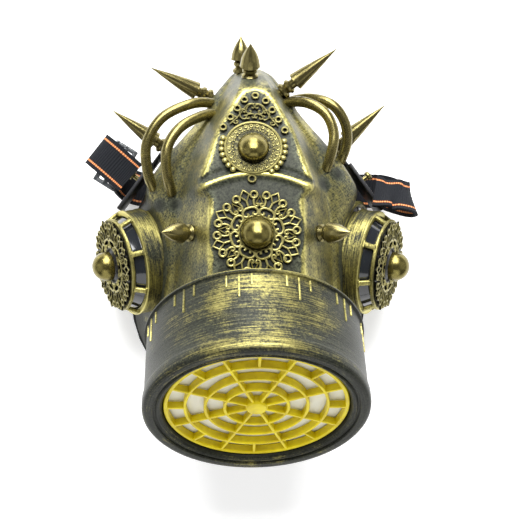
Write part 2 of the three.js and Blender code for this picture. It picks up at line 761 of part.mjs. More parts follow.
// Face seal: a soft black strip under the rim on each side, on which the mask lies
function makeSeal(side, word) {
  const column = side > 0 ? bodyGrid[0].length - 1 : 0;
  const inner = shifted(bodyGrid, bodyNormals, -wall);
  const restingRim = Math.min(...sections.map((row) => row.rimUp)) * crownHeight;
  const path = bodyGrid.map((row, n) => {
    const [outside, inside] = [row[column], inner[n][column]];
    const resting = outside.z < restingRim + 0.01;
    const height = resting ? sealHeight : Math.min(outside.z, inside.z) - gap;
    return outside.clone().lerp(inside, 0.5).setZ(height);
  });
  const sideways = path.map((_, n) => {
    const along = path[Math.min(n + 1, path.length - 1)].clone().sub(path[Math.max(n - 1, 0)]).setZ(0);
    along.normalize();
    return new THREE.Vector3(-along.y, along.x, 0).multiplyScalar(sealWidth / 2);
  });
  const edges = (depth) =>
    path.map((point, n) => [-1, 1].map((sign) => {
      const corner = point.clone().addScaledVector(sideways[n], sign);
      return corner.setZ(corner.z - depth);
    }));
  addMesh(`face_seal_${word}`, gridSolid(edges(0), edges(sealHeight)), blackRubber);
}

// Side plates: an upright black flap on each cheek, from the nose bridge's side to the drum's rim, with
// a brass stud on its outer face
const studShare = 0.46;
const plateStart = new THREE.Vector2(0.714 * halfWidth, 0.578 * noseReach);
const plateEnd = new THREE.Vector2(drumSeat.x + 0.52 * drumRadius, drumSeat.y + 0.97 * drumRadius);
const plateRun = plateEnd.clone().sub(plateStart);
const plateHeading = plateRun.angle();
const plateLength = plateRun.length();

function makePlate(side, word) {
  const plate = new THREE.Group();
  plate.position.set(side * plateStart.x, plateStart.y, plateTop - plateHeight / 2);
  plate.rotation.z = side > 0 ? plateHeading : Math.PI - plateHeading;
  group.add(plate);
  const outline = [
    [0, -0.5 * plateHeight],
    [plateLength, -0.5 * plateHeight],
    [plateLength, 0.5 * plateHeight],
    [plateTongue, 0.5 * plateHeight],
    [plateTongue, 0.1 * plateHeight],
    [0, 0.1 * plateHeight],
  ];
  const shape = new THREE.Shape(outline.map(([x, z]) => new THREE.Vector2(x, z)));
  const slab = new THREE.ExtrudeGeometry(shape, { depth: plateThickness, bevelEnabled: false, steps: 1 });
  slab.translate(0, 0, -plateThickness / 2).rotateX(Math.PI / 2);
  seatOnBody(addMesh(`side_plate_${word}`, slab, blackRubber, plate));
  const shaft = 0.5 * studRadius;
  const face = plateThickness / 2 + gap;
  const profile = [
    [0, face],
    [shaft, face],
    [shaft, face + 0.5 * studLength],
    [studRadius, face + 0.6 * studLength],
    [0.8 * studRadius, face + studLength],
    [0, face + studLength],
  ];
  const stud = ringProfile(profile, 10).rotateX(side > 0 ? -Math.PI / 2 : Math.PI / 2);
  const height = plateHeight / 2 - studRadius - 2.5;
  addMesh(`stud_${word}`, stud.translate(studShare * plateLength + 2, 0, height), brass, plate);
}

// Head strap: one elastic webbing from the left slide out, back under the mask along the surface it
// lies on and up to the right side plate. Its middle line is chosen by hand, as shares of halfWidth,
// noseReach and crownHeight. turn is the angle of its width from +Y and lean how far that rises, in degrees.
const strapRoute = [
  { x: -0.973, y: 0.425, z: 0.3363, turn: -38, lean: 0 },
  { x: -1.045, y: 0.466, z: 0.3396, turn: -38, lean: 0 },
  { x: -1.143, y: 0.521, z: 0.3429, turn: -38, lean: 0 },
  { x: -1.22, y: 0.563, z: 0.3297, turn: -38, lean: 0 },
  { x: -1.243, y: 0.576, z: 0.3011, turn: -38, lean: 0 },
  { x: -1.214, y: 0.563, z: 0.2725, turn: -38, lean: 0 },
  { x: -1.125, y: 0.517, z: 0.2462, turn: -36, lean: 0 },
  { x: -1.08, y: 0.477, z: 0.1758, turn: -28, lean: 0 },
  { x: -1.062, y: 0.437, z: 0.0879, turn: -16, lean: 0 },
  { x: -0.991, y: 0.402, z: 0.0242, turn: -6, lean: 0 },
  { x: -0.821, y: 0.386, z: 0.0108, turn: 0, lean: 0 },
  { x: -0.286, y: 0.386, z: 0.0108, turn: 0, lean: 0 },
  { x: 0.286, y: 0.386, z: 0.0108, turn: 0, lean: 0 },
  { x: 0.821, y: 0.386, z: 0.0108, turn: 0, lean: 0 },
  { x: 0.991, y: 0.384, z: 0.0242, turn: 2, lean: 0 },
  { x: 1.125, y: 0.375, z: 0.0934, turn: 5, lean: 0 },
  { x: 1.23, y: 0.345, z: 0.17, turn: 9, lean: -8 },
  { x: 1.3, y: 0.325, z: 0.24, turn: 10, lean: -20 },
  { x: 1.315, y: 0.318, z: 0.3, turn: 11, lean: -28 },
  { x: 1.28, y: 0.325, z: 0.352, turn: 12, lean: -32 },
  { x: 1.21, y: 0.336, z: 0.366, turn: 12, lean: -34 },
  { x: 1.14, y: 0.344, z: 0.352, turn: 18, lean: -34 },
  { x: 1.07, y: 0.352, z: 0.358, turn: 26, lean: -30 },
  { x: 1.0, y: 0.36, z: 0.353, turn: 33, lean: -26 },
];
const strapSteps = 34;

function makeStrap() {
  const line = new THREE.CatmullRomCurve3(strapRoute.map(placed));
  const [upper, lower] = [[], []];
  for (let n = 0; n <= strapSteps; n++) {
    const t = n / strapSteps;
    const point = line.getPoint(t);
    const place = t * (strapRoute.length - 1);
    const row = Math.min(strapRoute.length - 2, Math.floor(place));
    const [before, after] = [strapRoute[row], strapRoute[row + 1]];
    const degrees = (column) => THREE.MathUtils.lerp(before[column], after[column], place - row);
    const [turn, lean] = [degrees("turn"), degrees("lean")].map(THREE.MathUtils.degToRad);
    const across = new THREE.Vector3(-Math.sin(turn), Math.cos(turn), 0).multiplyScalar(Math.cos(lean));
    across.z = Math.sin(lean);
    const along = line.getTangent(t);
    across.addScaledVector(along, -across.dot(along)).normalize();
    const face = along.clone().cross(across).normalize();
    const corner = (a, b) => {
      const edge = point.clone().addScaledVector(across, (a * strapWidth) / 2);
      return edge.addScaledVector(face, (b * strapThickness) / 2);
    };
    upper.push([corner(-1, 1), corner(1, 1)]);
    lower.push([corner(-1, -1), corner(1, -1)]);
  }
  addMesh("head_strap", gridSolid(upper, lower), elasticWeb);
}

// Slide: a frame with a middle bar, between the strap's two layers on the left
const slidePlace = { x: -1.096, y: 0.49, z: 0.313, turn: -32 };

function makeSlide() {
  const bars = [-1, 0, 1].map((place) => {
    const bar = new THREE.BoxGeometry(slideBar, slideLength, slideThickness);
    return bar.translate((place * (slideWidth - slideBar)) / 2, 0, 0);
  });
  const ends = [-1, 1].map((place) => {
    const end = new THREE.BoxGeometry(slideWidth, slideBar, slideThickness);
    return end.translate(0, (place * (slideLength - slideBar)) / 2, 0);
  });
  const mesh = addMesh("strap_slide", unite([...bars, ...ends]), smokePlastic);
  mesh.position.copy(placed(slidePlace));
  mesh.rotation.z = THREE.MathUtils.degToRad(slidePlace.turn);
}

makeBody();
makeSeal(-1, "left");
makeSeal(1, "right");
makePlate(-1, "left");
makePlate(1, "right");
makeStrap();
makeSlide();
makeCanister();
makeFrontOrnament();
makeNoseOrnament();
makeDrum(-1, "left");
makeDrum(1, "right");
makeTubes();
makeSpikes();

// The origin is the middle of the footprint, on the surface that the mask lies on
const box = new THREE.Box3().setFromObject(group);
const middle = box.getCenter(new THREE.Vector3());
group.position.set(-middle.x, -middle.y, -box.min.z);

export default group;
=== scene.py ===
# %% [markdown]
# A gas mask style costume mask, dressed over its CAD frame. The frame gives every piece its place and
# size. This lesson models the finer shapes over it and mixes a finish for each: worn antique paint,
# aged brass, yellow plastic, filter felt and a ribbed elastic strap.

# %% Load the frame
import bpy
import math
import numpy as np
from mathutils import Matrix, Vector
from mathutils.bvhtree import BVHTree


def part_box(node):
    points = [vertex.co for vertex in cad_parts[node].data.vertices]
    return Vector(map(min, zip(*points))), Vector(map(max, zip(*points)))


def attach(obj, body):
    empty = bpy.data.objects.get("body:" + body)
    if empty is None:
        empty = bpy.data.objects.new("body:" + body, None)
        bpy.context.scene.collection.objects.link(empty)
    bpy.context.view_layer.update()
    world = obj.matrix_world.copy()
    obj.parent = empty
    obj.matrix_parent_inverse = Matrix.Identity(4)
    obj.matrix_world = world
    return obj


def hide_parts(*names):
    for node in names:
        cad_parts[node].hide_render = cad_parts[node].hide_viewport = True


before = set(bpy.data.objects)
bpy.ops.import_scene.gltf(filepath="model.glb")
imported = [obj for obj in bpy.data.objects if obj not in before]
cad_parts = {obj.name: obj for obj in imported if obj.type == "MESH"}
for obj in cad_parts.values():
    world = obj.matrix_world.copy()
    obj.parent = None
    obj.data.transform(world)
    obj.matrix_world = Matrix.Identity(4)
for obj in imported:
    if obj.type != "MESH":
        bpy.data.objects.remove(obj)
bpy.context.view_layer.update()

# %% [markdown]
# The mask was drawn about its own middle line, and the frame's origin is the middle of the whole
# footprint. The body is symmetric, so its box gives the middle line, and the nose bridge's end gives
# the place along it. Everything below is written in millimetres from there, and spot() turns such a
# place into the frame's metres.

# %% From the mask's own millimetres to the frame's metres
MM = 0.001
NOSE_REACH = 87.0
CHIN_REACH = 73.0
HALF_WIDTH = 56.0
CROWN_HEIGHT = 91.0
body_low, body_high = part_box("mask_body")
ORIGIN = Vector(((body_low.x + body_high.x) / 2, body_high.y - 0.995 * NOSE_REACH * MM, 0))


def spot(x, y, z):
    return ORIGIN + Vector((x, y, z)) * MM


print("mask origin", ORIGIN)

# %% [markdown]
# The photo looks straight down on the mask from about half a metre, a little from its left. The same
# view is a camera above the floor with a long lens, turned by under three degrees.

# %% Camera
CAMERA_HEIGHT = 470.0
CAMERA_SIDE = -17.6
CAMERA_TURN = 0.049
FOCAL_PIXELS = 970.0
PHOTO_WIDTH = 520.0
bpy.ops.object.camera_add(location=spot(CAMERA_SIDE, 0, CAMERA_HEIGHT), rotation=(0, -CAMERA_TURN, 0))
camera = bpy.context.object
camera.name = "photo_camera"
camera.data.lens = camera.data.sensor_width * FOCAL_PIXELS / PHOTO_WIDTH
bpy.context.scene.camera = camera
print("lens", round(camera.data.lens, 1))

# %% [markdown]
# The floor is a pale sheet that glows a little, like a light table, so the mask leaves no dark shadow.
# Large lamps make the soft light of a product photo: a strong key from the nose's side, a low one
# behind it for the bright middle of the canister, and weaker ones from both sides and from the chin.
# Small lamps would give hard spots on the brass. The Standard view keeps the white sheet white and the
# gold strong, where a filmic view would make both pale.

# %% Floor and lights
bpy.ops.mesh.primitive_plane_add(size=6, location=(0, 0, 0))
floor = bpy.context.object
floor.name = "floor"
white = bpy.data.materials.new("white_sheet")
white.use_nodes = True
sheet = white.node_tree.nodes["Principled BSDF"].inputs
sheet["Base Color"].default_value = (0.93, 0.93, 0.93, 1)
sheet["Roughness"].default_value = 0.9
sheet["Emission Color"].default_value = (1, 1, 1, 1)
sheet["Emission Strength"].default_value = 0.35
floor.data.materials.append(white)


def lamp(name, place, size, power):
    bpy.ops.object.light_add(type="AREA", location=place)
    light = bpy.context.object
    light.name = name
    light.data.size = size
    light.data.energy = power
    light.rotation_euler = (Vector((0, 0, 0.05)) - Vector(place)).to_track_quat("-Z", "Y").to_euler()
    print(name, power, "watts")


lamp("lamp_key", (-0.02, 0.76, 0.78), 0.75, 25)
lamp("lamp_top", (0.0, 1.1, 0.25), 0.5, 9)
lamp("lamp_left", (-0.95, -0.1, 0.7), 1.1, 3)
lamp("lamp_right", (0.95, 0.1, 0.7), 1.1, 2.4)
lamp("lamp_low", (0.0, -1.1, 0.65), 1.4, 10)
bpy.context.scene.view_settings.view_transform = "Standard"
world = bpy.data.worlds.new("studio")
bpy.context.scene.world = world
world.use_nodes = True
world.node_tree.nodes["Background"].inputs["Color"].default_value = (1, 1, 1, 1)
world.node_tree.nodes["Background"].inputs["Strength"].default_value = 0.12

# %% [markdown]
# Shader maths reads best as plain sums. A Wire is one output socket, and its operators add the Math
# nodes. A Paint is one material: node() makes any other node, and the last call sets the shader.

# %% Shader helpers


class Wire:
    """One output socket of a material, so that shader maths reads as Python."""

    def __init__(self, paint, socket):
        self.paint = paint
        self.socket = socket

    def maths(self, operation, first, second=0.0, clamp=False):
        settings = {"operation": operation, "use_clamp": clamp}
        return self.paint.node("ShaderNodeMath", settings, {0: first, 1: second})

    def __add__(self, other):
        return self.maths("ADD", self, other)

    def __radd__(self, other):
        return self.maths("ADD", other, self)

    def __sub__(self, other):
        return self.maths("SUBTRACT", self, other)

    def __rsub__(self, other):
        return self.maths("SUBTRACT", other, self)

    def __mul__(self, other):
        return self.maths("MULTIPLY", self, other)

    def __rmul__(self, other):
        return self.maths("MULTIPLY", other, self)

    def __pow__(self, other):
        return self.maths("POWER", self, other)

    def clamped(self):
        return self.maths("ADD", self, 0.0, clamp=True)

    def absolute(self):
        return self.maths("ABSOLUTE", self)

    def sine(self):
        return self.maths("SINE", self)


class Paint:
    """One material, with its nodes made by name."""

    def __init__(self, name):
        self.material = bpy.data.materials.new(name)
        self.material.use_nodes = True
        self.tree = self.material.node_tree
        self.shader = self.tree.nodes["Principled BSDF"]

    def node(self, kind, settings=None, inputs=None, output=0):
        made = self.tree.nodes.new(kind)
        for key, value in (settings or {}).items():
            setattr(made, key, value)
        for key, value in (inputs or {}).items():
            self.feed(made.inputs[key], value)
        return Wire(self, made.outputs[output])

    def feed(self, socket, value):
        if isinstance(value, Wire):
            self.tree.links.new(value.socket, socket)
        else:
            socket.default_value = value

    def place(self, size=(1, 1, 1), turn=(0, 0, 0), middle=(0, 0, 0)):
        """Object coordinates about a middle, turned, then in steps of a size in millimetres."""
        where = self.node("ShaderNodeTexCoord", output="Object")
        inputs = {"Vector": where, "Location": middle, "Rotation": turn, "Scale": [v * MM for v in size]}
        return self.node("ShaderNodeMapping", {"vector_type": "TEXTURE"}, inputs)

    def parts(self, vector):
        """The three numbers of a vector."""
        split = self.node("ShaderNodeSeparateXYZ", {}, {"Vector": vector})
        return [Wire(self, socket) for socket in split.socket.node.outputs]

    def vector(self, x, y, z):
        return self.node("ShaderNodeCombineXYZ", {}, {"X": x, "Y": y, "Z": z})

    def noise(self, where, scale, detail=4.0, rough=0.6):
        inputs = {"Vector": where, "Scale": scale, "Detail": detail, "Roughness": rough}
        return self.node("ShaderNodeTexNoise", {}, inputs)

    def step(self, value, low, high):
        settings = {"interpolation_type": "SMOOTHSTEP"}
        return self.node("ShaderNodeMapRange", settings, {"Value": value, "From Min": low, "From Max": high})

    def attribute(self, name):
        return self.node("ShaderNodeAttribute", {"attribute_name": name}, output="Fac")

    def mix(self, factor, first, second):
        colours = [c if isinstance(c, Wire) else (*c, 1) for c in (first, second)]
        inputs = {0: factor, 6: colours[0], 7: colours[1]}
        return self.node("ShaderNodeMix", {"data_type": "RGBA"}, inputs, output=2)

    def bump(self, height, strength, distance):
        return self.node("ShaderNodeBump", {}, {"Height": height, "Strength": strength, "Distance": distance})

    def finish(self, **sockets):
        for name, value in sockets.items():
            socket = self.shader.inputs[name.replace("_", " ").title().replace("Ior", "IOR")]
            self.feed(socket, (*value, 1) if isinstance(value, tuple) and len(value) == 3 else value)
        return self.material


# %% [markdown]
# The mask's antique finish is dark grey-green paint with gold dry-brushed over it. A dry brush only
# touches what stands proud, so the gold follows a value stored on each point of the mesh, called
# raised, and noise breaks it into speckles and streaks. A second value, shade, is painted shade: it
# darkens the paint and holds the gold back in recesses, creases and round glued-on pieces.

# %% Antique paint
DARK_PAINT = (0.009, 0.01, 0.007)
GREEN_PAINT = (0.11, 0.118, 0.078)
SHADED_GREEN = (0.045, 0.048, 0.034)
GOLD_DRY = (0.2, 0.178, 0.06)
GOLD_BRIGHT = (0.6, 0.54, 0.18)


def brush_strokes(paint, around):
    """Fine strokes: crossing ones on the body, or ones that run round an axis."""
    if around is None:
        first = paint.noise(paint.place((5, 0.7, 0.9), (0.3, 0.5, 0.6)), 1.0, 5, 0.7)
        second = paint.noise(paint.place((0.8, 6, 0.9), (0.4, -0.2, 0.5)), 1.0, 5, 0.7)
        return first * 0.5 + second * 0.5
    x, y, z = paint.parts(paint.place((1, 1, 1), tuple(around.to_euler()), tuple(around.translation)))
    angle = paint.node("ShaderNodeMath", {"operation": "ARCTAN2"}, {0: x, 1: y})
    radius = (x * x + y * y) ** 0.5
    return paint.noise(paint.vector(angle * 2.6, z * 1.9 + angle * 1.1, radius * 1.6), 1.0, 7, 0.75)


def antique_paint(name, around=None, gold=0.5, green=GREEN_PAINT):
    paint = Paint(name)
    where = paint.place()
    raised = paint.attribute("raised")
    shade = paint.attribute("shade")
    cloud = paint.noise(paint.place((1, 1, 1), (0, 0, 0), (0.03, 0, 0)), 0.06, 3)
    strokes = brush_strokes(paint, around)
    speck = paint.noise(where, 1.1, 7, 0.78)
    base = paint.mix(paint.step(strokes * 0.5 + speck * 0.5, 0.4, 0.6), DARK_PAINT, green)
    cover = strokes * 1.5 + cloud * 1.1 + speck * 0.9 + raised * 0.45 - shade * 0.95
    start = 1.86 - 0.24 * gold
    brushed = paint.step(cover, start, start + 0.26)
    colour = paint.mix(brushed * 0.85, base, GOLD_DRY)
    edge = paint.step(raised * 1.4 + strokes * 0.5 + speck * 0.4 - shade * 0.5, 0.95, 1.7)
    edge = (edge + paint.step(cover, start + 0.22, start + 0.5) * 0.7).clamped()
    colour = paint.mix(edge * 0.85, colour, GOLD_BRIGHT)
    # Painted shade: the shade value darkens the colour towards near black and holds back gold and metal.
    colour = paint.mix((shade * 0.8).clamped(), colour, (0.008, 0.009, 0.007))
    return paint.finish(
        base_color=colour,
        metallic=(0.15 + (brushed + edge).clamped() * 0.7) * (1.0 - shade * 0.5),
        roughness=0.3 + speck * 0.2,
        specular_ior_level=0.12,
        normal=paint.bump(strokes * 0.5 + speck * 0.5, 0.5, 0.0003),
    )


body_paint = antique_paint("antique_paint", gold=1.05)

# %% [markdown]
# A piece's raised value comes from its own shape: a point that stands above the average of its
# neighbours is convex. The difference is spread over the mesh a few times so that the gold is as wide
# as a brush leaves it.

# %% Raised edges as a value on each point


def store(piece, name, values):
    """Keeps one number for each point of a piece, where a material can read it."""
    layer = piece.data.attributes.new(name, "FLOAT", "POINT")
    layer.data.foreach_set("value", np.array(values, dtype=np.float32).ravel())


def mark_raised(piece, spread=3, gain=1.0):
    mesh = piece.data
    count = len(mesh.vertices)
    points = np.empty(count * 3)
    mesh.vertices.foreach_get("co", points)
    points = points.reshape(-1, 3)
    normals = np.empty(count * 3)
    mesh.vertices.foreach_get("normal", normals)
    normals = normals.reshape(-1, 3)
    edges = np.empty(len(mesh.edges) * 2, dtype=np.int64)
    mesh.edges.foreach_get("vertices", edges)
    start, end = edges.reshape(-1, 2).T
    joined = np.maximum(np.bincount(start, minlength=count) + np.bincount(end, minlength=count), 1)

    def average(values):
        total = np.bincount(start, values[end], count) + np.bincount(end, values[start], count)
        return total / joined

    around = np.column_stack([average(points[:, axis]) for axis in range(3)])
    length = np.linalg.norm(points[start] - points[end], axis=1).mean()
    convex = ((points - around) * normals).sum(1) / length
    for _ in range(spread):
        convex = 0.5 * convex + 0.5 * average(convex)
    value = np.clip(convex * 6 * gain * (1 + spread), 0, 1)
    store(piece, "raised", value)
    print(piece.name, "raised over", round(float((value > 0.5).mean()), 3), "of its points")


def mark_shade(piece, rule):
    """Darkens a piece: the rule gives each point's shade from its place in millimetres."""
    store(piece, "shade", [rule(v.co / MM) for v in piece.data.vertices])
    return piece


def mark_by_height(piece, low, high):
    """A flat ornament's raised value: dark at its floor, bright on its tops. Heights in millimetres."""
    heights = np.array([v.co.z for v in piece.data.vertices]) / MM
    store(piece, "raised", np.clip((heights - low) / (high - low), 0, 1))
    return piece


# %% [markdown]
# Every new piece starts as a primitive and is shaped with the tools of edit mode. These helpers keep
# the steps short: deselect, add, spin a drawn profile about an axis, place, join and hand over.

# %% Modelling helpers


def deselect():
    if bpy.context.object and bpy.context.object.mode != "OBJECT":
        bpy.ops.object.mode_set(mode="OBJECT")
    bpy.ops.object.select_all(action="DESELECT")


def activate(piece):
    deselect()
    piece.select_set(True)
    bpy.context.view_layer.objects.active = piece
    return piece


def apply_modifier(piece, kind, **settings):
    activate(piece)
    modifier = piece.modifiers.new(kind.lower(), kind)
    for key, value in settings.items():
        setattr(modifier, key, value)
    bpy.ops.object.modifier_apply(modifier=modifier.name)


def turned(profile, steps=48):
    """Spins a profile of (radius, height) points in millimetres about +Z."""
    deselect()
    bpy.ops.mesh.primitive_plane_add(size=1)
    piece = bpy.context.object
    bpy.ops.object.mode_set(mode="EDIT")
    bpy.ops.mesh.select_all(action="SELECT")
    bpy.ops.mesh.merge(type="CENTER")
    points = [Vector((r, 0, h)) * MM for r, h in profile]
    bpy.ops.transform.translate(value=points[0])
    for before, after in zip(points, points[1:]):
        bpy.ops.mesh.extrude_region_move(TRANSFORM_OT_translate={"value": after - before})
    bpy.ops.mesh.select_all(action="SELECT")
    bpy.ops.mesh.spin(steps=steps, angle=2 * math.pi, center=(0, 0, 0), axis=(0, 0, 1))
    bpy.ops.mesh.select_all(action="SELECT")
    bpy.ops.mesh.remove_doubles(threshold=1e-6)
    bpy.ops.mesh.normals_make_consistent(inside=False)
    bpy.ops.object.mode_set(mode="OBJECT")
    return piece


def block(size, place=(0, 0, 0), bevel=0.0, segments=2):
    deselect()
    bpy.ops.mesh.primitive_cube_add(size=1)
    piece = bpy.context.object
    scale = Matrix.Diagonal((*(s * MM for s in size), 1))
    piece.data.transform(Matrix.Translation(Vector(place) * MM) @ scale)
    if bevel:
        bpy.ops.object.mode_set(mode="EDIT")
        bpy.ops.mesh.select_all(action="SELECT")
        bpy.ops.mesh.bevel(offset=bevel * MM, segments=segments, affect="EDGES")
        bpy.ops.object.mode_set(mode="OBJECT")
    return piece


def ring(radius, thickness, place=(0, 0, 0), steps=24, sides=8, squash=1.0):
    deselect()
    bpy.ops.mesh.primitive_torus_add(
        major_radius=radius * MM, minor_radius=thickness * MM, major_segments=steps, minor_segments=sides
    )
    piece = bpy.context.object
    piece.data.transform(Matrix.Translation(Vector(place) * MM) @ Matrix.Diagonal((1, 1, squash, 1)))
    return piece


def move(piece, matrix):
    piece.data.transform(matrix)
    return piece


def turn_z(angle):
    return Matrix.Rotation(angle, 4, "Z")


def joined(pieces):
    activate(pieces[0])
    for piece in pieces[1:]:
        piece.select_set(True)
    if len(pieces) > 1:
        bpy.ops.object.join()
    return pieces[0]


def smooth(piece, angle=40):
    activate(piece)
    bpy.ops.object.shade_smooth_by_angle(angle=math.radians(angle))
    return piece


def copied_node(node):
    """A copy of a CAD node as a new piece, with its loose triangles merged."""
    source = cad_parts[node]
    piece = source.copy()
    piece.data = source.data.copy()
    bpy.context.collection.objects.link(piece)
    piece.parent = None
    piece.matrix_world = Matrix.Identity(4)
    for key in list(piece.keys()):
        del piece[key]
    activate(piece)
    bpy.ops.object.mode_set(mode="EDIT")
    bpy.ops.mesh.select_all(action="SELECT")
    bpy.ops.mesh.remove_doubles(threshold=1e-6)
    bpy.ops.mesh.normals_make_consistent(inside=False)
    bpy.ops.object.mode_set(mode="OBJECT")
    return piece


def hand_over(piece, name, material, slot, *nodes, angle=40):
    """Names a finished piece, gives it its finish and lets it stand for its CAD nodes."""
    smooth(piece, angle)
    piece.name = name
    piece.data.name = name
    piece.data.materials.clear()
    piece.data.materials.append(material)
    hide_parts(*nodes)
    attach(piece, "root")
    print(name, len(piece.data.polygons), "faces")
    return piece


# %% [markdown]
# The body is one moulding, so it is drawn the way its mould is: as cross-sections from the nose bridge
# to the chin. Each row below gives four places of one section, as shares of the driving sizes: the
# edge of the flat crown panel, the foot of the panel's side wall, the wing of the cheek and the rim.

# %% Sections of the mask body
# along, crown out and up, foot out and up, wing out and up, rim out and up
SECTIONS = np.array([
    (0.995, 0.03, 0.345, 0.07, 0.33, 0.085, 0.31, 0.09, 0.285),
    (0.965, 0.06, 0.43, 0.12, 0.37, 0.16, 0.33, 0.165, 0.25),
    (0.92, 0.08, 0.545, 0.165, 0.41, 0.215, 0.355, 0.225, 0.22),
    (0.87, 0.1, 0.65, 0.2, 0.44, 0.275, 0.375, 0.29, 0.195),
    (0.825, 0.115, 0.725, 0.23, 0.47, 0.32, 0.395, 0.34, 0.175),
    (0.77, 0.15, 0.755, 0.26, 0.5, 0.36, 0.41, 0.385, 0.16),
    (0.69, 0.215, 0.785, 0.32, 0.54, 0.455, 0.43, 0.48, 0.14),
    (0.61, 0.275, 0.82, 0.385, 0.575, 0.56, 0.45, 0.595, 0.12),
    (0.48, 0.345, 0.868, 0.46, 0.615, 0.725, 0.465, 0.775, 0.1),
    (0.345, 0.405, 0.907, 0.52, 0.64, 0.83, 0.46, 0.885, 0.085),
    (0.275, 0.338, 0.925, 0.545, 0.65, 0.79, 0.48, 0.93, 0.07),
    (0.17, 0.336, 0.948, 0.56, 0.66, 0.735, 0.505, 0.97, 0.04),
    (0, 0.336, 0.978, 0.57, 0.67, 0.715, 0.515, 1, 0.04),
    (-0.203, 0.336, 0.995, 0.585, 0.66, 0.715, 0.495, 1, 0.04),
    (-0.411, 0.32, 0.96, 0.575, 0.6, 0.71, 0.44, 0.965, 0.04),
    (-0.596, 0.3, 0.83, 0.535, 0.48, 0.69, 0.33, 0.87, 0.04),
    (-0.751, 0.24, 0.48, 0.45, 0.32, 0.58, 0.22, 0.72, 0.04),
    (-0.882, 0.15, 0.22, 0.33, 0.17, 0.43, 0.12, 0.53, 0.04),
    (-1, 0.06, 0.075, 0.14, 0.07, 0.19, 0.06, 0.23, 0.04),
])
SECTION_Y = SECTIONS[:, 0] * np.where(SECTIONS[:, 0] > 0, NOSE_REACH, CHIN_REACH)


def between(y, column):
    """A column of the table between its rows, smooth and without overshoot."""
    places, values = SECTION_Y[::-1], SECTIONS[::-1, column]
    span = np.diff(places)
    slope = np.diff(values) / span
    before, after = slope[:-1], slope[1:]
    same = before * after > 0
    middle = np.where(same, 2 * before * after / np.where(same, before + after, 1), 0)
    tangent = np.concatenate([slope[:1], middle, slope[-1:]])
    n = np.clip(np.searchsorted(places, y) - 1, 0, len(span) - 1)
    t = np.clip((y - places[n]) / span[n], 0, 1)
    ease = t * t * (3 - 2 * t)
    rise = tangent[n] * (t**3 - 2 * t * t + t) + tangent[n + 1] * (t**3 - t * t)
    return values[n] * (1 - ease) + values[n + 1] * ease + rise * span[n]


def crown(y):
    return between(np.asarray(y, dtype=float), 2) * CROWN_HEIGHT


print("crown height at the brow", round(float(crown(30.0)), 1), "mm")

# %% [markdown]
# Shade is painted on the body round what is glued to it: dark round the canister, the drums, the
# tubes' feet and the ornaments. Their places are settled here, before the body is drawn.

# %% Places of the pieces on the body
CANISTER_RADIUS = 45.5
CANISTER_LIP = 0.5
CANISTER_TILT = math.radians(50)
CANISTER_SEAT = (0, -0.448 * CHIN_REACH, 0.69 * CROWN_HEIGHT)
CANISTER_AXIS = Vector((0, -math.sin(CANISTER_TILT), math.cos(CANISTER_TILT)))
FRONT_RADIUS = 18.2
CANISTER_TOP = CANISTER_SEAT[1] + (CANISTER_RADIUS + CANISTER_LIP) * math.cos(CANISTER_TILT)
FRONT_MIDDLE = CANISTER_TOP + 0.76 * FRONT_RADIUS
NOSE_MIDDLE = 0.53 * NOSE_REACH
DRUM_RADIUS = 23.6
DRUM_SEAT = (0.852 * HALF_WIDTH, 0, 0.322 * CROWN_HEIGHT)
DRUM_OUTWARD = (0.89, -0.15, 0.43)
DRUM_AXIS = np.array(DRUM_OUTWARD) / np.linalg.norm(DRUM_OUTWARD)
# Feet of the tubes on the body, where spots of painted shade go.
TUBE_ENDS = ((-0.72, 0.27), (-0.6, 0.27), (0.54, 0.375), (0.66, 0.43))
print("front ornament at", round(FRONT_MIDDLE, 1), "mm, nose ornament at", round(NOSE_MIDDLE, 1), "mm")

# %% [markdown]
# Every section runs from rim to rim over the crown. The panel stays flat with a soft raised edge, and
# a smooth curve leads from the edge over the cheek to the rim. A grid primitive gets one row of points
# per section, then Solidify gives it the moulding's wall.

# %% Mask body
WALL_THICKNESS = 2.2
PANEL_DROP = 0.1
BODY_ROWS = 210
HALF_COLUMNS = 74


def smooth_line(points, places):
    """Catmull-Rom curve through points, at places from 0 to the last point's number."""
    points = np.asarray(points, dtype=float)
    ends = np.concatenate([2 * points[:1] - points[1:2], points, 2 * points[-1:] - points[-2:-1]])
    n = np.clip(places.astype(int), 0, len(points) - 2)
    t = (places - n)[:, None]
    a, b, c, d = ends[n], ends[n + 1], ends[n + 2], ends[n + 3]
    return 0.5 * (
        2 * b + (c - a) * t + (2 * a - 5 * b + 4 * c - d) * t**2 + (3 * b - a - 3 * c + d) * t**3
    )


def half_section(y):
    """Out and up of one half section, from the middle line to the rim."""
    share = [float(between(np.array(y), column)) for column in range(1, 9)]
    out, up = np.array(share[0::2]) * HALF_WIDTH, np.array(share[1::2]) * CROWN_HEIGHT
    (edge, foot, wing, rim), (top, low, side, bottom) = out, up
    soft = min(1, share[0] / 0.2)
    panel = np.linspace(0, edge - 2.6 * soft, 12)
    shape = [(panel[-1], top - PANEL_DROP)]
    shape += [(edge - 0.9 * soft, top - 0.6 * soft), (edge + 0.6 * soft, top - 2 * soft)]
    for share_of_wall, share_of_drop in ((0.35, 0.32), (0.8, 0.78)):
        shape.append((edge + (foot - edge) * share_of_wall, top + (low - top) * share_of_drop))
    for share_of_cheek, share_of_drop in ((0.12, 0.18), (0.45, 0.36), (0.8, 0.68)):
        shape.append((foot + (wing - foot) * share_of_cheek, low + (side - low) * share_of_drop))
    shape.append((wing, side))
    shape.append((wing + (rim - wing) * 0.4, side + (bottom - side) * 0.35))
    shape.append((rim, bottom))
    places = np.linspace(0, len(shape) - 1, HALF_COLUMNS - 11)
    flat = np.column_stack([panel, np.full(12, top - PANEL_DROP)])
    return np.concatenate([flat, smooth_line(shape, places)[1:]])


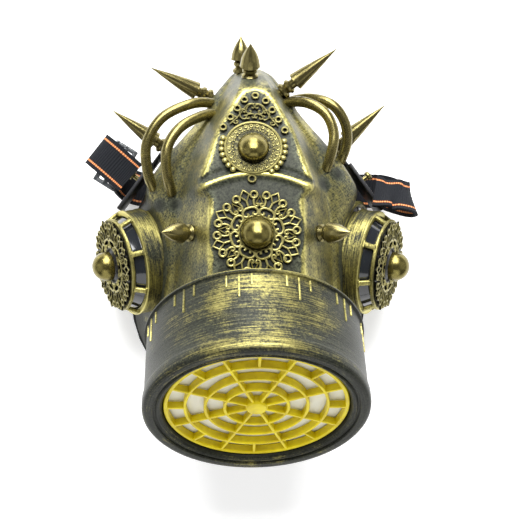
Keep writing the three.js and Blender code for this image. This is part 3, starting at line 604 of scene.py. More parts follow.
def brow_relief(x, y):
    """The bead that arches over the lower panel, with a groove above it, and how much gold they hold."""
    arch = 0.4 * NOSE_REACH - 0.07 * NOSE_REACH * np.clip(np.abs(x) / 22.4, 0, 1) ** 2
    away = y - arch
    fade = np.clip((24.5 - np.abs(x)) / 4, 0, 1)
    bead = np.exp(-((away / 1.3) ** 2)) * fade
    groove = np.exp(-(((away - 2.9) / 0.9) ** 2)) * fade
    return bead, groove


PANEL_BORDER = np.array([(18.8, -22), (18.8, 24), (22.4, 30), (15.5, 53), (8.4, 65.5), (4.5, 69.8), (0, 71)])


def border_relief(x, y):
    """How close a place is to the raised border of the crown panel, from 0 to 1."""
    nearest = np.full(np.shape(x), 99.0)
    for start, end in zip(PANEL_BORDER, PANEL_BORDER[1:]):
        run = end - start
        share = np.clip(((np.abs(x) - start[0]) * run[0] + (y - start[1]) * run[1]) / (run @ run), 0, 1)
        off = np.hypot(np.abs(x) - start[0] - share * run[0], y - start[1] - share * run[1])
        nearest = np.minimum(nearest, off)
    return np.exp(-((nearest / 1.3) ** 2)) * (1 - 0.75 * np.exp(-(((y - 26.5) / 4.5) ** 2)))


deselect()
bpy.ops.mesh.primitive_grid_add(x_subdivisions=2 * HALF_COLUMNS - 2, y_subdivisions=BODY_ROWS, size=1)
body = bpy.context.object
rows, raised, shade = [], [], []
for y in np.linspace(SECTION_Y[0], SECTION_Y[-1], BODY_ROWS + 1):
    half = half_section(y)
    whole = np.concatenate([half[:0:-1] * (-1, 1), half])
    x, top = whole[:, 0], whole[:, 1] > 0.72 * half[0, 1]
    bead, groove = (value * top for value in brow_relief(x, y))
    border = border_relief(x, y) * top * (1 - groove)
    lift = 1.5 * bead - 0.8 * groove + 0.45 * border
    raised.append(np.maximum(bead, border * np.interp(y, [30, 60, 68], [0.55, 0.5, 0.6])))
    # Painted shade: dark under the two ornaments, and over the crown panel inside its border, where it also
    # stands for darker paint with less gold.
    under_front = np.clip((19.5 - np.hypot(x, y - FRONT_MIDDLE)) / 2, 0, 1)
    under_nose = np.clip((13 - np.hypot(x, (y - NOSE_MIDDLE) / 0.9)) / 2, 0, 1)
    inside = np.clip((np.interp(y, PANEL_BORDER[:, 1], PANEL_BORDER[:, 0]) - 1.2 - np.abs(x)) / 3.5, 0, 1)
    dark = np.maximum(np.maximum(under_front, under_nose), 0.8 * inside) * (1 - bead) * top
    point = np.column_stack([np.abs(x), np.full(len(x), y), whole[:, 1]])
    below_lip = (point - CANISTER_SEAT) @ np.array(CANISTER_AXIS) * (whole[:, 1] > 20)
    away = np.linalg.norm(np.cross(point - DRUM_SEAT, DRUM_AXIS), axis=1)
    # Painted shade round the drums' seats and along the canister's lip.
    dark = np.maximum(dark, 0.75 * np.clip((28 - away) / 5, 0, 1))
    dark = np.maximum(dark, 0.8 * np.clip(1 + (below_lip + 0.6) / 3.5, 0, 1))
    # Painted shade: a dark spot at the foot of each tube.
    for end in TUBE_ENDS:
        gap = np.hypot(x - end[0] * HALF_WIDTH, y - end[1] * NOSE_REACH)
        dark = np.maximum(dark, np.exp(-((gap / 2.6) ** 4)) * (whole[:, 1] > 20))
    # The groove above the bead is painted shade too.
    shade.append(np.maximum(dark, groove))
    rows.append(np.column_stack([x, np.full(len(x), y), whole[:, 1] + lift]))
points = (np.array(rows).reshape(-1, 3) * MM + np.array(ORIGIN)).astype(np.float32)
print("grid points", len(body.data.vertices), "section points", len(points))
body.data.vertices.foreach_set("co", points.ravel())
store(body, "raised", raised)
store(body, "shade", shade)
body.data.update()
activate(body)
bpy.ops.object.mode_set(mode="EDIT")
bpy.ops.mesh.select_all(action="SELECT")
bpy.ops.mesh.normals_make_consistent(inside=False)
bpy.ops.object.mode_set(mode="OBJECT")
apply_modifier(body, "SMOOTH", factor=0.5, iterations=2)
skin = body.copy()
skin.data = body.data.copy()

# %% [markdown]
# The canister closes the body on a tilted plane. The shell is thickened inwards and everything beyond
# that plane is cut away, the way the CAD part has it.

# %% Thickness and canister opening
up = sum(p.normal.z for p in body.data.polygons) > 0
apply_modifier(body, "SOLIDIFY", thickness=WALL_THICKNESS * MM, offset=-1 if up else 1)
activate(body)
bpy.ops.object.mode_set(mode="EDIT")
bpy.ops.mesh.select_all(action="SELECT")
cut_place = spot(*CANISTER_SEAT) - CANISTER_AXIS * 0.3 * MM
bpy.ops.mesh.bisect(plane_co=cut_place, plane_no=CANISTER_AXIS, clear_outer=True, use_fill=True)
bpy.ops.mesh.select_all(action="SELECT")
bpy.ops.mesh.normals_make_consistent(inside=False)
bpy.ops.object.mode_set(mode="OBJECT")
hand_over(body, "body", body_paint, "antique_paint", "mask_body", angle=60)
skin_tree = BVHTree.FromPolygons(
    [v.co.copy() for v in skin.data.vertices], [tuple(p.vertices) for p in skin.data.polygons]
)


def depth_to_body(place, direction):
    """How far the body's outer surface lies from a place, in metres, or None."""
    return skin_tree.ray_cast(place, direction)[3]


def above_body(place):
    """Signed distance of a place above the body's outer surface, in metres."""
    near, normal, _, distance = skin_tree.find_nearest(place)
    if normal.dot(near - spot(0, near.y / MM - ORIGIN.y / MM, 20)) < 0:
        normal = -normal
    return distance if (place - near).dot(normal) > 0 else -distance


# %% [markdown]
# Brass on this mask is cheap plated plastic: bright on the high places, olive brown in the hollows.
# The same recipe serves the domes, spikes and tubes, with a paler tone for the cast ornaments.

# %% Brass


def aged_brass(name, low, high, polish, blotch=0.35, worn=0.35):
    paint = Paint(name)
    where = paint.place()
    raised = paint.attribute("raised")
    spots = paint.noise(where, blotch, 5, 0.65)
    fine = paint.noise(where, 3.0, 4)
    bright = paint.step(spots * 0.8 + raised * worn, 0.34 + worn * 0.2, 0.5 + worn * 0.75)
    return paint.finish(
        base_color=paint.mix(bright, low, high),
        metallic=0.9,
        roughness=polish + fine * 0.14,
        normal=paint.bump(spots * 0.6 + fine * 0.4, 0.18, 0.0004),
    )


brass = aged_brass("brass", (0.17, 0.145, 0.055), (0.62, 0.55, 0.22), 0.17)
dome_brass = aged_brass("dome_brass", (0.16, 0.135, 0.04), (0.66, 0.57, 0.16), 0.18, blotch=0.7)
tube_brass = aged_brass("tube_brass", (0.15, 0.127, 0.045), (0.58, 0.5, 0.16), 0.2, blotch=0.5)
cast_brass = aged_brass("cast_brass", (0.008, 0.008, 0.005), (0.33, 0.295, 0.11), 0.32, blotch=0.9, worn=0.85)

# %% [markdown]
# Canister, grille and pad share one axis. It leans fifty degrees towards the chin and starts where
# the canister closes the body. lean() is that place and turn, as one matrix.

# %% Canister place
CANISTER_LENGTH = 37
FACE_INNER = 37.1
GRILLE_TOP = CANISTER_LENGTH - 2.7
BLADE_DEPTH = 3.4
PAD_TOP = GRILLE_TOP - BLADE_DEPTH - 0.3
lean = Matrix.Translation(spot(*CANISTER_SEAT)) @ Matrix.Rotation(CANISTER_TILT, 4, "X")

# %% [markdown]
# The canister is turned from one profile: a thin lip at the back, a plain wall, a thicker front rim
# with a rounded edge, a groove in the face and a deep well for the grille.

# %% Canister
WALL = CANISTER_RADIUS - 0.6
canister_profile = [
    (14, 0), (45.9, 0), (46, 0.3), (46, 0.9), (45.7, 1.2), (45.2, 1.3), (WALL, 1.7), (WALL, 3), (WALL, 12),
    (WALL, 22), (WALL, 30), (45.2, 31), (CANISTER_RADIUS, 32), (CANISTER_RADIUS, 35), (45.3, 36),
    (44.8, 36.6), (44, 36.95), (43, 37), (41.4, 36.9), (41, 36.5), (40.9, 35.9), (40.3, 35.8), (40, 36.2),
    (39.4, 36.4), (38.6, 36.1), (37.9, 35.4), (37.5, 34.4), (37.4, 33), (37.4, 25.5), (34.1, 25.5),
    (34.1, 3), (14, 3), (14, 0),
]
canister = turned(canister_profile, 144)
RIB_HEIGHT = 0.45
ribs = []
for n in range(12):
    for place, length in ((-6.3, 5.5), (0, 11), (6.3, 5.5)):
        angle = math.radians(30 * n + 69.6 + place)
        rib = block((RIB_HEIGHT + 1, 0.8, length), (WALL + RIB_HEIGHT / 2 - 0.5, 0, 1.6 + length / 2), 0.25)
        ribs.append(move(rib, turn_z(angle)))
mark_raised(canister, spread=0, gain=0.45)
ribs = [mark_by_height(rib, -90, 90) for rib in ribs]


def canister_shade(at):
    """Painted shade: deep in the face's well, slight on the front rim (there also less gold), and rising
    towards the wall's two sides.
    """
    if at.xy.length < 37.6:
        return 0.95
    return max(0.16 if at.z > 35 else 0, 0.3 * min(1, max(0, abs(at.x) - 22) / 18))


mark_shade(canister, canister_shade)
canister = move(joined([canister, *ribs]), lean)
canister_paint = antique_paint("canister_paint", around=lean, gold=0.76, green=SHADED_GREEN)
hand_over(canister, "canister", canister_paint, "antique_paint", "filter_canister", angle=35)

# %% [markdown]
# The grille is a wheel of thin yellow blades: a hub, four rings and sixteen spokes, of which every
# second one stops at the third ring. Each blade has softened edges, as a moulding has.

# %% Grille
BLADE = 1.15
RINGS = (0.345, 0.555, 0.77)


def blade_ring(radius, width):
    inner, outer = radius - width / 2, radius + width / 2
    low, high, soft = GRILLE_TOP - BLADE_DEPTH, GRILLE_TOP, 0.25
    profile = [
        (inner, low), (outer, low), (outer, high - soft), (outer - soft, high), (inner + soft, high),
        (inner, high - soft), (inner, low),
    ]
    return turned(profile, 96)


grille_pieces = [blade_ring(share * FACE_INNER, BLADE) for share in RINGS]
grille_pieces.append(blade_ring(FACE_INNER - 0.9, 1.6))
hub_top = GRILLE_TOP + 0.6
hub_low = GRILLE_TOP - BLADE_DEPTH
hub_edge = [(4.4, hub_low), (4.4, hub_top - 0.8), (3.9, hub_top - 0.2), (3, hub_top)]
grille_pieces.append(turned([(0, hub_low), *hub_edge, (0, hub_top)], 32))
for n in range(16):
    start = 3.6 if n % 2 else RINGS[2] * FACE_INNER
    length = FACE_INNER - 1 - start
    middle = (start + length / 2, 0, GRILLE_TOP - BLADE_DEPTH / 2)
    spoke = block((length, BLADE, BLADE_DEPTH - 0.2), middle, 0.22, 1)
    grille_pieces.append(move(spoke, turn_z(n * math.pi / 8)))
grille = move(joined(grille_pieces), lean)


def yellow_plastic():
    paint = Paint("yellow_plastic")
    where = paint.place()
    cloud = paint.noise(where, 0.12, 3)
    return paint.finish(
        base_color=paint.mix(paint.step(cloud, 0.35, 0.7), (0.66, 0.52, 0.004), (0.84, 0.7, 0.008)),
        roughness=0.32 + cloud * 0.15,
        specular_ior_level=0.3,
        normal=paint.bump(paint.noise(where, 2.0), 0.08, 0.0002),
    )


hand_over(grille, "grille", yellow_plastic(), "yellow_plastic", "filter_grille", angle=35)

# %% [markdown]
# Behind the grille lies a pad of white filter felt. A rounded disc with a fine uneven bump reads as
# pressed fibre.

# %% Filter pad
PAD_LOW = 25.8
pad_edge = [(36.6, PAD_LOW), (36.8, PAD_LOW + 0.6)]
pad_edge += [(36.8, PAD_TOP - 0.8), (36.2, PAD_TOP - 0.2), (35, PAD_TOP)]
pad = turned([(0, PAD_LOW), *pad_edge, (0, PAD_TOP)], 72)
move(pad, lean)


def filter_felt():
    paint = Paint("filter_felt")
    where = paint.place()
    fibre = paint.noise(where, 2.4, 8, 0.8)
    return paint.finish(
        base_color=paint.mix(fibre, (0.82, 0.83, 0.74), (0.97, 0.97, 0.92)),
        roughness=0.92,
        normal=paint.bump(fibre, 0.5, 0.0006),
    )


hand_over(pad, "pad", filter_felt(), "filter_felt", "filter_pad")

# %% [markdown]
# Cast filigree is wire bent into loops and scrolls, so it is drawn as round wire: each line is a curve
# with a round bevel, turned into a mesh. A finished flat ornament is then laid on the crown, which
# follows the panel's slope.

# %% Wire and draping


def wire(places, radius, closed=False, sides=2, resolution=4, straight=False):
    """A round wire through places in millimetres."""
    deselect()
    bpy.ops.curve.primitive_bezier_curve_add(radius=MM)
    piece = bpy.context.object
    curve = piece.data
    curve.splines.clear()
    spline = curve.splines.new("BEZIER")
    spline.bezier_points.add(len(places) - 1)
    for point, place in zip(spline.bezier_points, places):
        point.co = Vector(place) * MM
        point.handle_left_type = point.handle_right_type = "VECTOR" if straight else "AUTO"
    spline.use_cyclic_u = closed
    curve.dimensions = "3D"
    curve.resolution_u = resolution
    curve.bevel_depth = radius * MM
    curve.bevel_resolution = sides
    curve.use_fill_caps = True
    bpy.ops.object.convert(target="MESH")
    return bpy.context.object


def polar(radius, angle, height=0.0):
    return (radius * math.cos(angle), radius * math.sin(angle), height)


def c_scroll(radius, wire_radius, height=0.6):
    """A C with both ends curled inwards, its back towards +X."""
    ends = [(-0.1 * radius, 0.45 * radius), (-0.5 * radius, 0.4 * radius), (-0.55 * radius, 0.9 * radius)]
    half = [*ends, (-0.1 * radius, 1.15 * radius), (0.5 * radius, 0.75 * radius)]
    places = half + [(0.62 * radius, 0)] + [(x, -y) for x, y in reversed(half)]
    return wire([(x, y, height) for x, y in places], wire_radius, resolution=3, sides=2)


def drape(piece, middle, lift):
    """Lays a flat ornament on the crown panel around a place on the middle line."""
    mesh = piece.data
    points = np.empty(len(mesh.vertices) * 3)
    mesh.vertices.foreach_get("co", points)
    points = points.reshape(-1, 3) / MM
    slope = float(crown(middle + 1) - crown(middle - 1)) / 2
    y = middle + points[:, 1] / math.hypot(1, slope)
    height = crown(y) - PANEL_DROP + lift + points[:, 2]
    laid = np.column_stack([points[:, 0], y, height]) * MM + np.array(ORIGIN)
    mesh.vertices.foreach_set("co", laid.astype(np.float32).ravel())
    mesh.update()
    return piece


def dome(radius, height, place=(0, 0, 0)):
    """A ball that stands out by a height, cut flat where it meets its base."""
    deselect()
    bpy.ops.mesh.primitive_uv_sphere_add(segments=40, ring_count=24, radius=radius * MM)
    piece = move(bpy.context.object, Matrix.Translation((0, 0, (height - radius) * MM)))
    activate(piece)
    bpy.ops.object.mode_set(mode="EDIT")
    bpy.ops.mesh.select_all(action="SELECT")
    bpy.ops.mesh.bisect(plane_co=(0, 0, 0), plane_no=(0, 0, -1), clear_outer=True, use_fill=True)
    bpy.ops.object.mode_set(mode="OBJECT")
    return move(piece, Matrix.Translation(Vector(place) * MM))


# %% [markdown]
# The front ornament is a round filigree. Its border repeats eight times: a round loop, a pointed kite,
# a round loop. Wires lead from each loop to a ring of eight C-scrolls round the dome.

# %% Front ornament
def border_loops(radius, groups, loop, thickness):
    """The outer row of loops, in pairs, each with a curled wire leading inwards."""
    step = 2 * math.pi / groups
    rim = radius - loop - thickness - 0.5
    pieces = []
    for n in range(groups):
        for side in (-1, 1):
            at = n * step + side * 0.3 * step
            pieces.append(ring(loop, thickness, polar(rim, at, 0.75), steps=16, sides=8))
            curl = [(rim - loop, 0.3), (0.68 * radius, 0.26), (0.6 * radius, 0.34), (0.62 * radius, 0.44)]
            curl.append((0.68 * radius, 0.42))
            places = [polar(r, n * step + side * turn * step, 0.65) for r, turn in curl]
            pieces.append(wire(places, thickness, sides=2, resolution=3))
    return pieces


def filigree(radius, groups, loop=1.25, thickness=0.42, turn=0.0):
    """One flat round filigree about the origin: loops, kites between the pairs, fans and scrolls."""
    step = 2 * math.pi / groups
    pieces = border_loops(radius, groups, loop, thickness)
    for n in range(groups):
        angle = n * step
        corners = ((0.74, 0), (0.89, -0.15), (1, 0), (0.89, 0.15))
        kite = [polar(r * radius, angle + side * step, 0.75) for r, side in corners]
        pieces.append(wire(kite, thickness, closed=True, sides=2, resolution=1, straight=True))
        stem = [polar(0.76 * radius, angle, 0.7), polar(0.58 * radius, angle, 0.6)]
        pieces.append(wire(stem, thickness, sides=2, resolution=1))
        middle = angle + 0.5 * step
        corners = ((0.66, -0.16), (0.84, 0), (0.66, 0.16))
        fan = [polar(r * radius, middle + side * step, 0.7) for r, side in corners]
        pieces.append(wire(fan, thickness, closed=True, sides=2, resolution=1, straight=True))
        for side in (-0.17, 0.17):
            spur = [polar(0.86 * radius, middle + side * 0.9 * step, 0.7)]
            spur.append(polar(0.72 * radius, middle + side * 1.5 * step, 0.6))
            pieces.append(wire(spur, 0.85 * thickness, sides=2, resolution=1))
        scroll = c_scroll(0.15 * radius, 1.15 * thickness, 0.75)
        pieces.append(move(scroll, turn_z(angle) @ Matrix.Translation(Vector((0.49 * radius, 0, 0)) * MM)))
    pieces.append(ring(0.61 * radius, 0.8 * thickness, (0, 0, 0.4), steps=64, sides=8))
    pieces.append(ring(0.39 * radius, thickness, (0, 0, 0.5), steps=48, sides=8))
    return move(joined(pieces), turn_z(turn))


front = filigree(FRONT_RADIUS, 8, loop=1.4, thickness=0.52, turn=math.radians(17.5))
mark_by_height(front, 0.7, 1.15)
drape(front, FRONT_MIDDLE, 0.2)
hand_over(front, "front_filigree", cast_brass, "cast_brass", "front_ornament")
front_dome = drape(dome(6.5, 7.8, (0, 0, 0.6)), FRONT_MIDDLE, 0.4)
hand_over(front_dome, "front_boss", dome_brass, "brass", "front_dome", angle=60)

# %% [markdown]
# The nose ornament is pear shaped. A round medallion with a rope ring and a grained floor carries the
# dome. Bead balls run down both sides, small cup rings climb to the nose and one hangs below.

# %% Nose ornament
MEDALLION = 11.9
SCROLLS = ((0.17, 1.5, 2.0, 0.5), (0.4, 1.27, 2.0, -0.2), (0.14, 1.2, 1.6, 1.3), (0.66, 1.02, 1.5, -0.3))
CUP_RINGS = ((0, 2.03, 1.8), (0.37, 1.84, 1.8), (0.6, 1.49, 1.8), (0.83, 1.13, 1.8), (1.06, 0.72, 1.8))


def cup_ring(x, y, radius):
    rim = ring(radius - 0.25, 0.5, (x, y, 0.9), steps=20, sides=8)
    return joined([rim, ring(radius * 0.5, 0.45, (x, y, 0.1), 12, 6)])


nose = [ring(MEDALLION - 0.5, 0.55, (0, 0, 1.2), steps=72, sides=8)]
nose.append(ring(MEDALLION - 4.7, 0.4, (0, 0, 0.55), steps=60, sides=6))
floor_profile = [(0, 0), (MEDALLION - 0.4, 0), (MEDALLION - 0.4, 0.9), (MEDALLION - 1, 1.1), (0, 0.6), (0, 0)]
nose.append(turned(floor_profile, 64))
for n in range(26):
    angle = 2 * math.pi * n / 26
    nose.append(ring(0.62, 0.26, polar(MEDALLION - 2.0, angle, 1.15), steps=10, sides=5))
for n in range(40):
    angle = 2 * math.pi * n / 40
    deselect()
    bpy.ops.mesh.primitive_uv_sphere_add(segments=8, ring_count=6, radius=0.42 * MM)
    grain = bpy.context.object
    nose.append(move(grain, Matrix.Translation(Vector(polar(MEDALLION - 3.6, angle, 1.0)) * MM)))
for side in (-1, 1):
    for x, y, size in CUP_RINGS[(0 if side > 0 else 1):]:
        nose.append(cup_ring(side * x * MEDALLION, y * MEDALLION, size - 0.3))
    for n in range(7):
        angle = math.radians(16 - 11.5 * n)
        deselect()
        bpy.ops.mesh.primitive_uv_sphere_add(segments=18, ring_count=12, radius=1.3 * MM)
        bead = bpy.context.object
        place = (side * (MEDALLION + 1.0) * math.cos(angle), (MEDALLION + 1.0) * math.sin(angle), 0.9)
        nose.append(move(bead, Matrix.Translation(Vector(place) * MM)))
    for x, y, size, turn in SCROLLS:
        place = Matrix.Translation(Vector((side * x * MEDALLION, y * MEDALLION, 0.2)) * MM)
        nose.append(move(c_scroll(size, 0.45), place @ turn_z(turn if side > 0 else math.pi - turn)))
    stem = [(side * 0.1, 1.7 * MEDALLION, 0.8), (side * 2.6, 1.66 * MEDALLION, 0.9)]
    stem += [(side * 4.6, 1.46 * MEDALLION, 0.8), (side * 6.6, 1.18 * MEDALLION, 0.8)]
    stem.append((side * 9.8, 0.86 * MEDALLION, 0.8))
    nose.append(wire(stem, 0.45, sides=2))
nose.append(cup_ring(0, -1.17 * MEDALLION, 1.7))
glued_askew = Matrix.Translation(Vector((-1.1, -0.6, 0)) * MM) @ turn_z(math.radians(-2.9))
nose = drape(move(mark_by_height(joined(nose), 0.85, 1.55), glued_askew), NOSE_MIDDLE, 0.2)
hand_over(nose, "nose_filigree", cast_brass, "cast_brass", "nose_ornament")
nose_dome = drape(dome(6.4, 7.4, (-1.1, -0.6, 0.6)), NOSE_MIDDLE, 0.4)
hand_over(nose_dome, "nose_boss", dome_brass, "brass", "nose_dome", angle=60)

# %% [markdown]
# Each cheek carries a drum: a barrel that sinks into the cheek, a wide band, a ring of windows with a
# glossy black core behind them, a thin front ring, a filigree and a dome. The barrel's back edge is
# moved onto the cheek point by point, so it fits the curved wall.

# %% Drums
def on_axis(place, direction):
    """The matrix that puts a piece's origin at a place and its +Z along a direction."""
    turn = Vector((0, 0, 1)).rotation_difference(Vector(direction))
    return Matrix.Translation(place) @ turn.to_matrix().to_4x4()


def sink_into_body(piece, matrix, below):
    """Places a piece and moves its points that lie below a height onto the body along its axis."""
    axis = (matrix.to_3x3() @ Vector((0, 0, 1))).normalized()
    low = [v.index for v in piece.data.vertices if v.co.z < below * MM]
    move(piece, matrix)
    for index in low:
        vertex = piece.data.vertices[index]
        local = matrix.inverted() @ vertex.co
        start = matrix @ Vector((local.x, local.y, 0))
        depth = depth_to_body(start, -axis)
        if depth is not None and depth < 0.03:
            vertex.co = start - axis * (depth + 0.8 * MM)
    return piece


barrel_profile = [
    (0, -12), (22, -12), (22, -0.5), (22.6, 0), (23.3, 0), (DRUM_RADIUS, 0.4), (DRUM_RADIUS, 1.2),
    (23.3, 1.5), (23.3, 7.6), (DRUM_RADIUS, 7.9), (DRUM_RADIUS, 8.6), (23.2, 9), (21.3, 9), (21.2, 2), (0, 2),
]
front_ring_profile = [
    (18.2, 13.4), (20.1, 13.4), (20.6, 13.8), (20.6, 14.6), (20.2, 15), (18.8, 15), (18.2, 14.7),
    (18.2, 13.4),
]
core_profile = [
    (0, 2.3), (20.6, 2.3), (20.9, 8.3), (20.4, 9), (18.2, 12.9), (17.9, 13.6), (17.6, 14.7), (0, 14.7),
]
gloss_black = Paint("gloss_black").finish(base_color=(0.012, 0.014, 0.017), roughness=0.12, coat_weight=0.5)


def make_drum(side, word):
    seat = spot(side * DRUM_SEAT[0], *DRUM_SEAT[1:])
    matrix = on_axis(seat, (side * DRUM_OUTWARD[0], *DRUM_OUTWARD[1:]))
    barrel = sink_into_body(turned(barrel_profile, 72), matrix, -6)
    pieces = [barrel, move(turned(front_ring_profile, 72), matrix)]
    slant = Matrix.Rotation(math.atan2(-3, 5.4), 4, "Y")
    for n in range(8):
        bar_place = Matrix.Translation(Vector((21.1, 0, 11.5)) * MM)
        bar = move(block((1.8, 2.3, 6.4), (0, 0, 0), 0.7, 3), bar_place @ slant)
        foot = block((1.6, 3.6, 1), (22.4, 0, 9.2), 0.4, 3)
        head = block((1.4, 3.2, 0.9), (19.9, 0, 13.5), 0.35, 3)
        pieces.append(move(joined([bar, foot, head]), matrix @ turn_z(0.31 + n * math.pi / 4)))
    if side > 0:
        arc = [polar(25.6, math.radians(62 + 13 * n), -2.4 + 0.1 * n) for n in range(7)]
        pieces.append(move(wire(arc, 1.3, sides=4), matrix))
    housing = joined(pieces)
    mark_raised(housing, spread=1, gain=0.22)
    drum_paint = antique_paint(f"drum_paint_{word}", around=matrix, gold=1.2, green=SHADED_GREEN)
    hand_over(housing, f"drum_{word}", drum_paint, "antique_paint", f"drum_housing_{word}", angle=35)
    core = turned(core_profile, 64)
    hand_over(move(core, matrix), f"core_{word}", gloss_black, "black_core", f"drum_core_{word}")
    plate = filigree(20.2, 10, loop=1.3, thickness=0.55)
    backing = turned([(0, 0), (19.2, 0), (19.2, 0.25), (0, 0.25)], 48)
    plate = mark_by_height(joined([plate, backing]), 0.8, 1.5)
    move(plate, matrix @ Matrix.Translation((0, 0, 15.3 * MM)))
    hand_over(plate, f"drum_filigree_{word}", cast_brass, "cast_brass", f"drum_ornament_{word}")
    cap = move(dome(6.5, 8, (0, 0, 17.2)), matrix)
    hand_over(cap, f"drum_boss_{word}", dome_brass, "brass", f"drum_dome_{word}", angle=60)


make_drum(-1, "left")
make_drum(1, "right")

# %% [markdown]
# Every spike is one turned stud: a stem in the body, a double ring collar, a neck and a cone. A real
# one is lathe work or cast in a two-part mould, so a spun profile is the plain way to draw it.

# %% Spikes
SPIKES = (
    ("spike_upper_left", (-0.33, 0.838, 0.363), 156.6, 20.5, True),
    ("spike_upper_right", (0.235, 0.855, 0.45), 37, 17, True),
    ("spike_side_left", (-0.67, 0.57, 0.33), 145.7, 16.4, True),
    ("spike_side_right", (0.67, 0.575, 0.33), 41.3, 14.7, True),
    ("spike_front_left", (-0.47, 0.127, 0.8), 180, 45, False),
    ("spike_front_right", (0.47, 0.127, 0.8), 0, 45, False),
    ("spike_top_front", (-0.027, 0.9, 0.571), 90, 37, False),
    ("spike_top_rear", (-0.09, 0.96, 0.4), 90, 17, False),
)


def shares(x, y, z):
    return spot(x * HALF_WIDTH, y * NOSE_REACH, z * CROWN_HEIGHT)


def spike_profile(cone, radius, collar, neck):
    stem = 0.6 * collar
    low = [(0, -12), (stem, -12), (stem, -0.2), (0.8 * collar, 0), (collar, 0.5), (collar, 1.6)]
    low += [(0.8 * collar, 2.2), (0.66 * collar, 2.6), (0.75 * collar, 3.2)]
    high = [(0.9 * collar, 3.5), (0.9 * collar, 4.6), (0.72 * collar, 5.2)]
    start = 5.4 + neck
    shaft = [(stem, 5.5), (stem, start), (0.9 * radius, start + 0.1), (radius, start + 0.4)]
    shaft.append((radius * 0.97, start + 0.9))
    bulge = 0.05 if cone > 12 else 0.2
    length = 7.8 + cone - start
    tip = [
        (radius * (1 - s + bulge * math.sin(math.pi * s)), start + 0.7 + (length - 1) * s)
        for s in (0.25, 0.5, 0.7, 0.87)
    ]
    return [*low, *high, *shaft, *tip, (0.12, 7.8 + cone - 0.1), (0, 7.8 + cone)]


for name, place, turn, rise, long in SPIKES:
    heading, lift = math.radians(turn), math.radians(rise)
    direction = (math.cos(heading) * math.cos(lift), math.sin(heading) * math.cos(lift), math.sin(lift))
    profile = spike_profile(23, 4.05, 3.7, 1.8) if long else spike_profile(8.5, 4.45, 3.6, 0.1)
    piece = sink_into_body(turned(profile, 32), on_axis(shares(*place), direction), -5)
    hand_over(piece, name.replace("spike", "stud_spike"), brass, "brass", name, angle=35)

# %% [markdown]
# Four hose tubes bend from the nose to the cheeks. Each is a round bar along a listed route, and
# it stops just under the body's surface, where a dark spot of painted shade marks the hole that the moulding
# has for it.

# %% Hose tubes
TUBE_ROUTES = {
    "tube_outer_left": (
        (-0.16, 0.78, 0.34), (-0.31, 0.8, 0.42), (-0.48, 0.785, 0.49), (-0.7, 0.71, 0.53),
        (-0.82, 0.58, 0.54), (-0.815, 0.44, 0.53), (-0.76, 0.34, 0.49), (-0.71, 0.27, 0.39),
    ),
    "tube_inner_left": (
        (-0.14, 0.7, 0.42), (-0.3, 0.735, 0.48), (-0.42, 0.71, 0.545), (-0.56, 0.65, 0.6),
        (-0.65, 0.56, 0.625), (-0.665, 0.46, 0.63), (-0.635, 0.355, 0.61), (-0.59, 0.27, 0.52),
    ),
    "tube_inner_right": (
        (0.12, 0.76, 0.4), (0.26, 0.8, 0.45), (0.42, 0.79, 0.52), (0.56, 0.73, 0.565),
        (0.62, 0.635, 0.58), (0.605, 0.54, 0.585), (0.56, 0.445, 0.56), (0.53, 0.37, 0.47),
    ),
    "tube_outer_right": (
        (0.1, 0.78, 0.33), (0.27, 0.815, 0.375), (0.45, 0.825, 0.45), (0.62, 0.785, 0.505),
        (0.72, 0.7, 0.505), (0.745, 0.6, 0.485), (0.7, 0.505, 0.455), (0.65, 0.43, 0.37),
    ),
}
TUBE_RADIUS = 2.3


def in_millimetres(place):
    return (place - ORIGIN) / MM


for name, route in TUBE_ROUTES.items():
    fine = smooth_line([tuple(shares(*place)) for place in route], np.linspace(0, len(route) - 1, 60))
    outside = [Vector(p) for p in fine if above_body(Vector(p)) > -1.0 * MM]
    tube = wire([tuple(p / MM) for p in outside], TUBE_RADIUS, sides=6, resolution=2)
    print(name, "starts at", in_millimetres(outside[0]), "ends at", in_millimetres(outside[-1]))
    hand_over(tube, name.replace("tube", "hose_tube"), tube_brass, "brass_tube", name, angle=60)

# %% [markdown]
# The head strap is flat elastic webbing: black, ribbed across, with an orange stripe woven near each
# edge. It is a long grid laid along its route, thickened, with UVs that run along and across it.

# %% Head strap
# x, y and z as shares of the driving sizes, then the turn of the webbing's width from +Y and its lean
STRAP_ROUTE = np.array([
    (-0.973, 0.425, 0.3363, -38, 0),
    (-1.045, 0.466, 0.3396, -38, 0),
    (-1.143, 0.521, 0.3429, -38, 0),
    (-1.22, 0.563, 0.3297, -38, 0),
    (-1.243, 0.576, 0.3011, -38, 0),
    (-1.214, 0.563, 0.2725, -38, 0),
    (-1.125, 0.517, 0.2462, -36, 0),
    (-1.08, 0.477, 0.1758, -28, 0),
    (-1.062, 0.437, 0.0879, -16, 0),
    (-0.991, 0.402, 0.0242, -6, 0),
    (-0.821, 0.386, 0.0108, 0, 0),
    (-0.286, 0.386, 0.0108, 0, 0),
    (0.286, 0.386, 0.0108, 0, 0),
    (0.821, 0.386, 0.0108, 0, 0),
    (0.991, 0.384, 0.0242, 2, 0),
    (1.125, 0.375, 0.0934, 5, 0),
    (1.23, 0.345, 0.17, 9, -8),
    (1.3, 0.325, 0.24, 10, -20),
    (1.315, 0.318, 0.3, 11, -28),
    (1.28, 0.325, 0.352, 12, -32),
    (1.21, 0.336, 0.366, 12, -34),
    (1.14, 0.344, 0.352, 18, -34),
    (1.07, 0.352, 0.358, 26, -30),
    (1.0, 0.36, 0.353, 33, -26),
])
STRAP_WIDTH = 16.2
STRAP_THICKNESS = 1.5
RIB_SPACING = 1.6
STRAP_STEPS = 480
STRAP_COLUMNS = 12
route_points = STRAP_ROUTE[:, :3] * (HALF_WIDTH, NOSE_REACH, CROWN_HEIGHT)
places = np.linspace(0, len(route_points) - 1, STRAP_STEPS + 1)
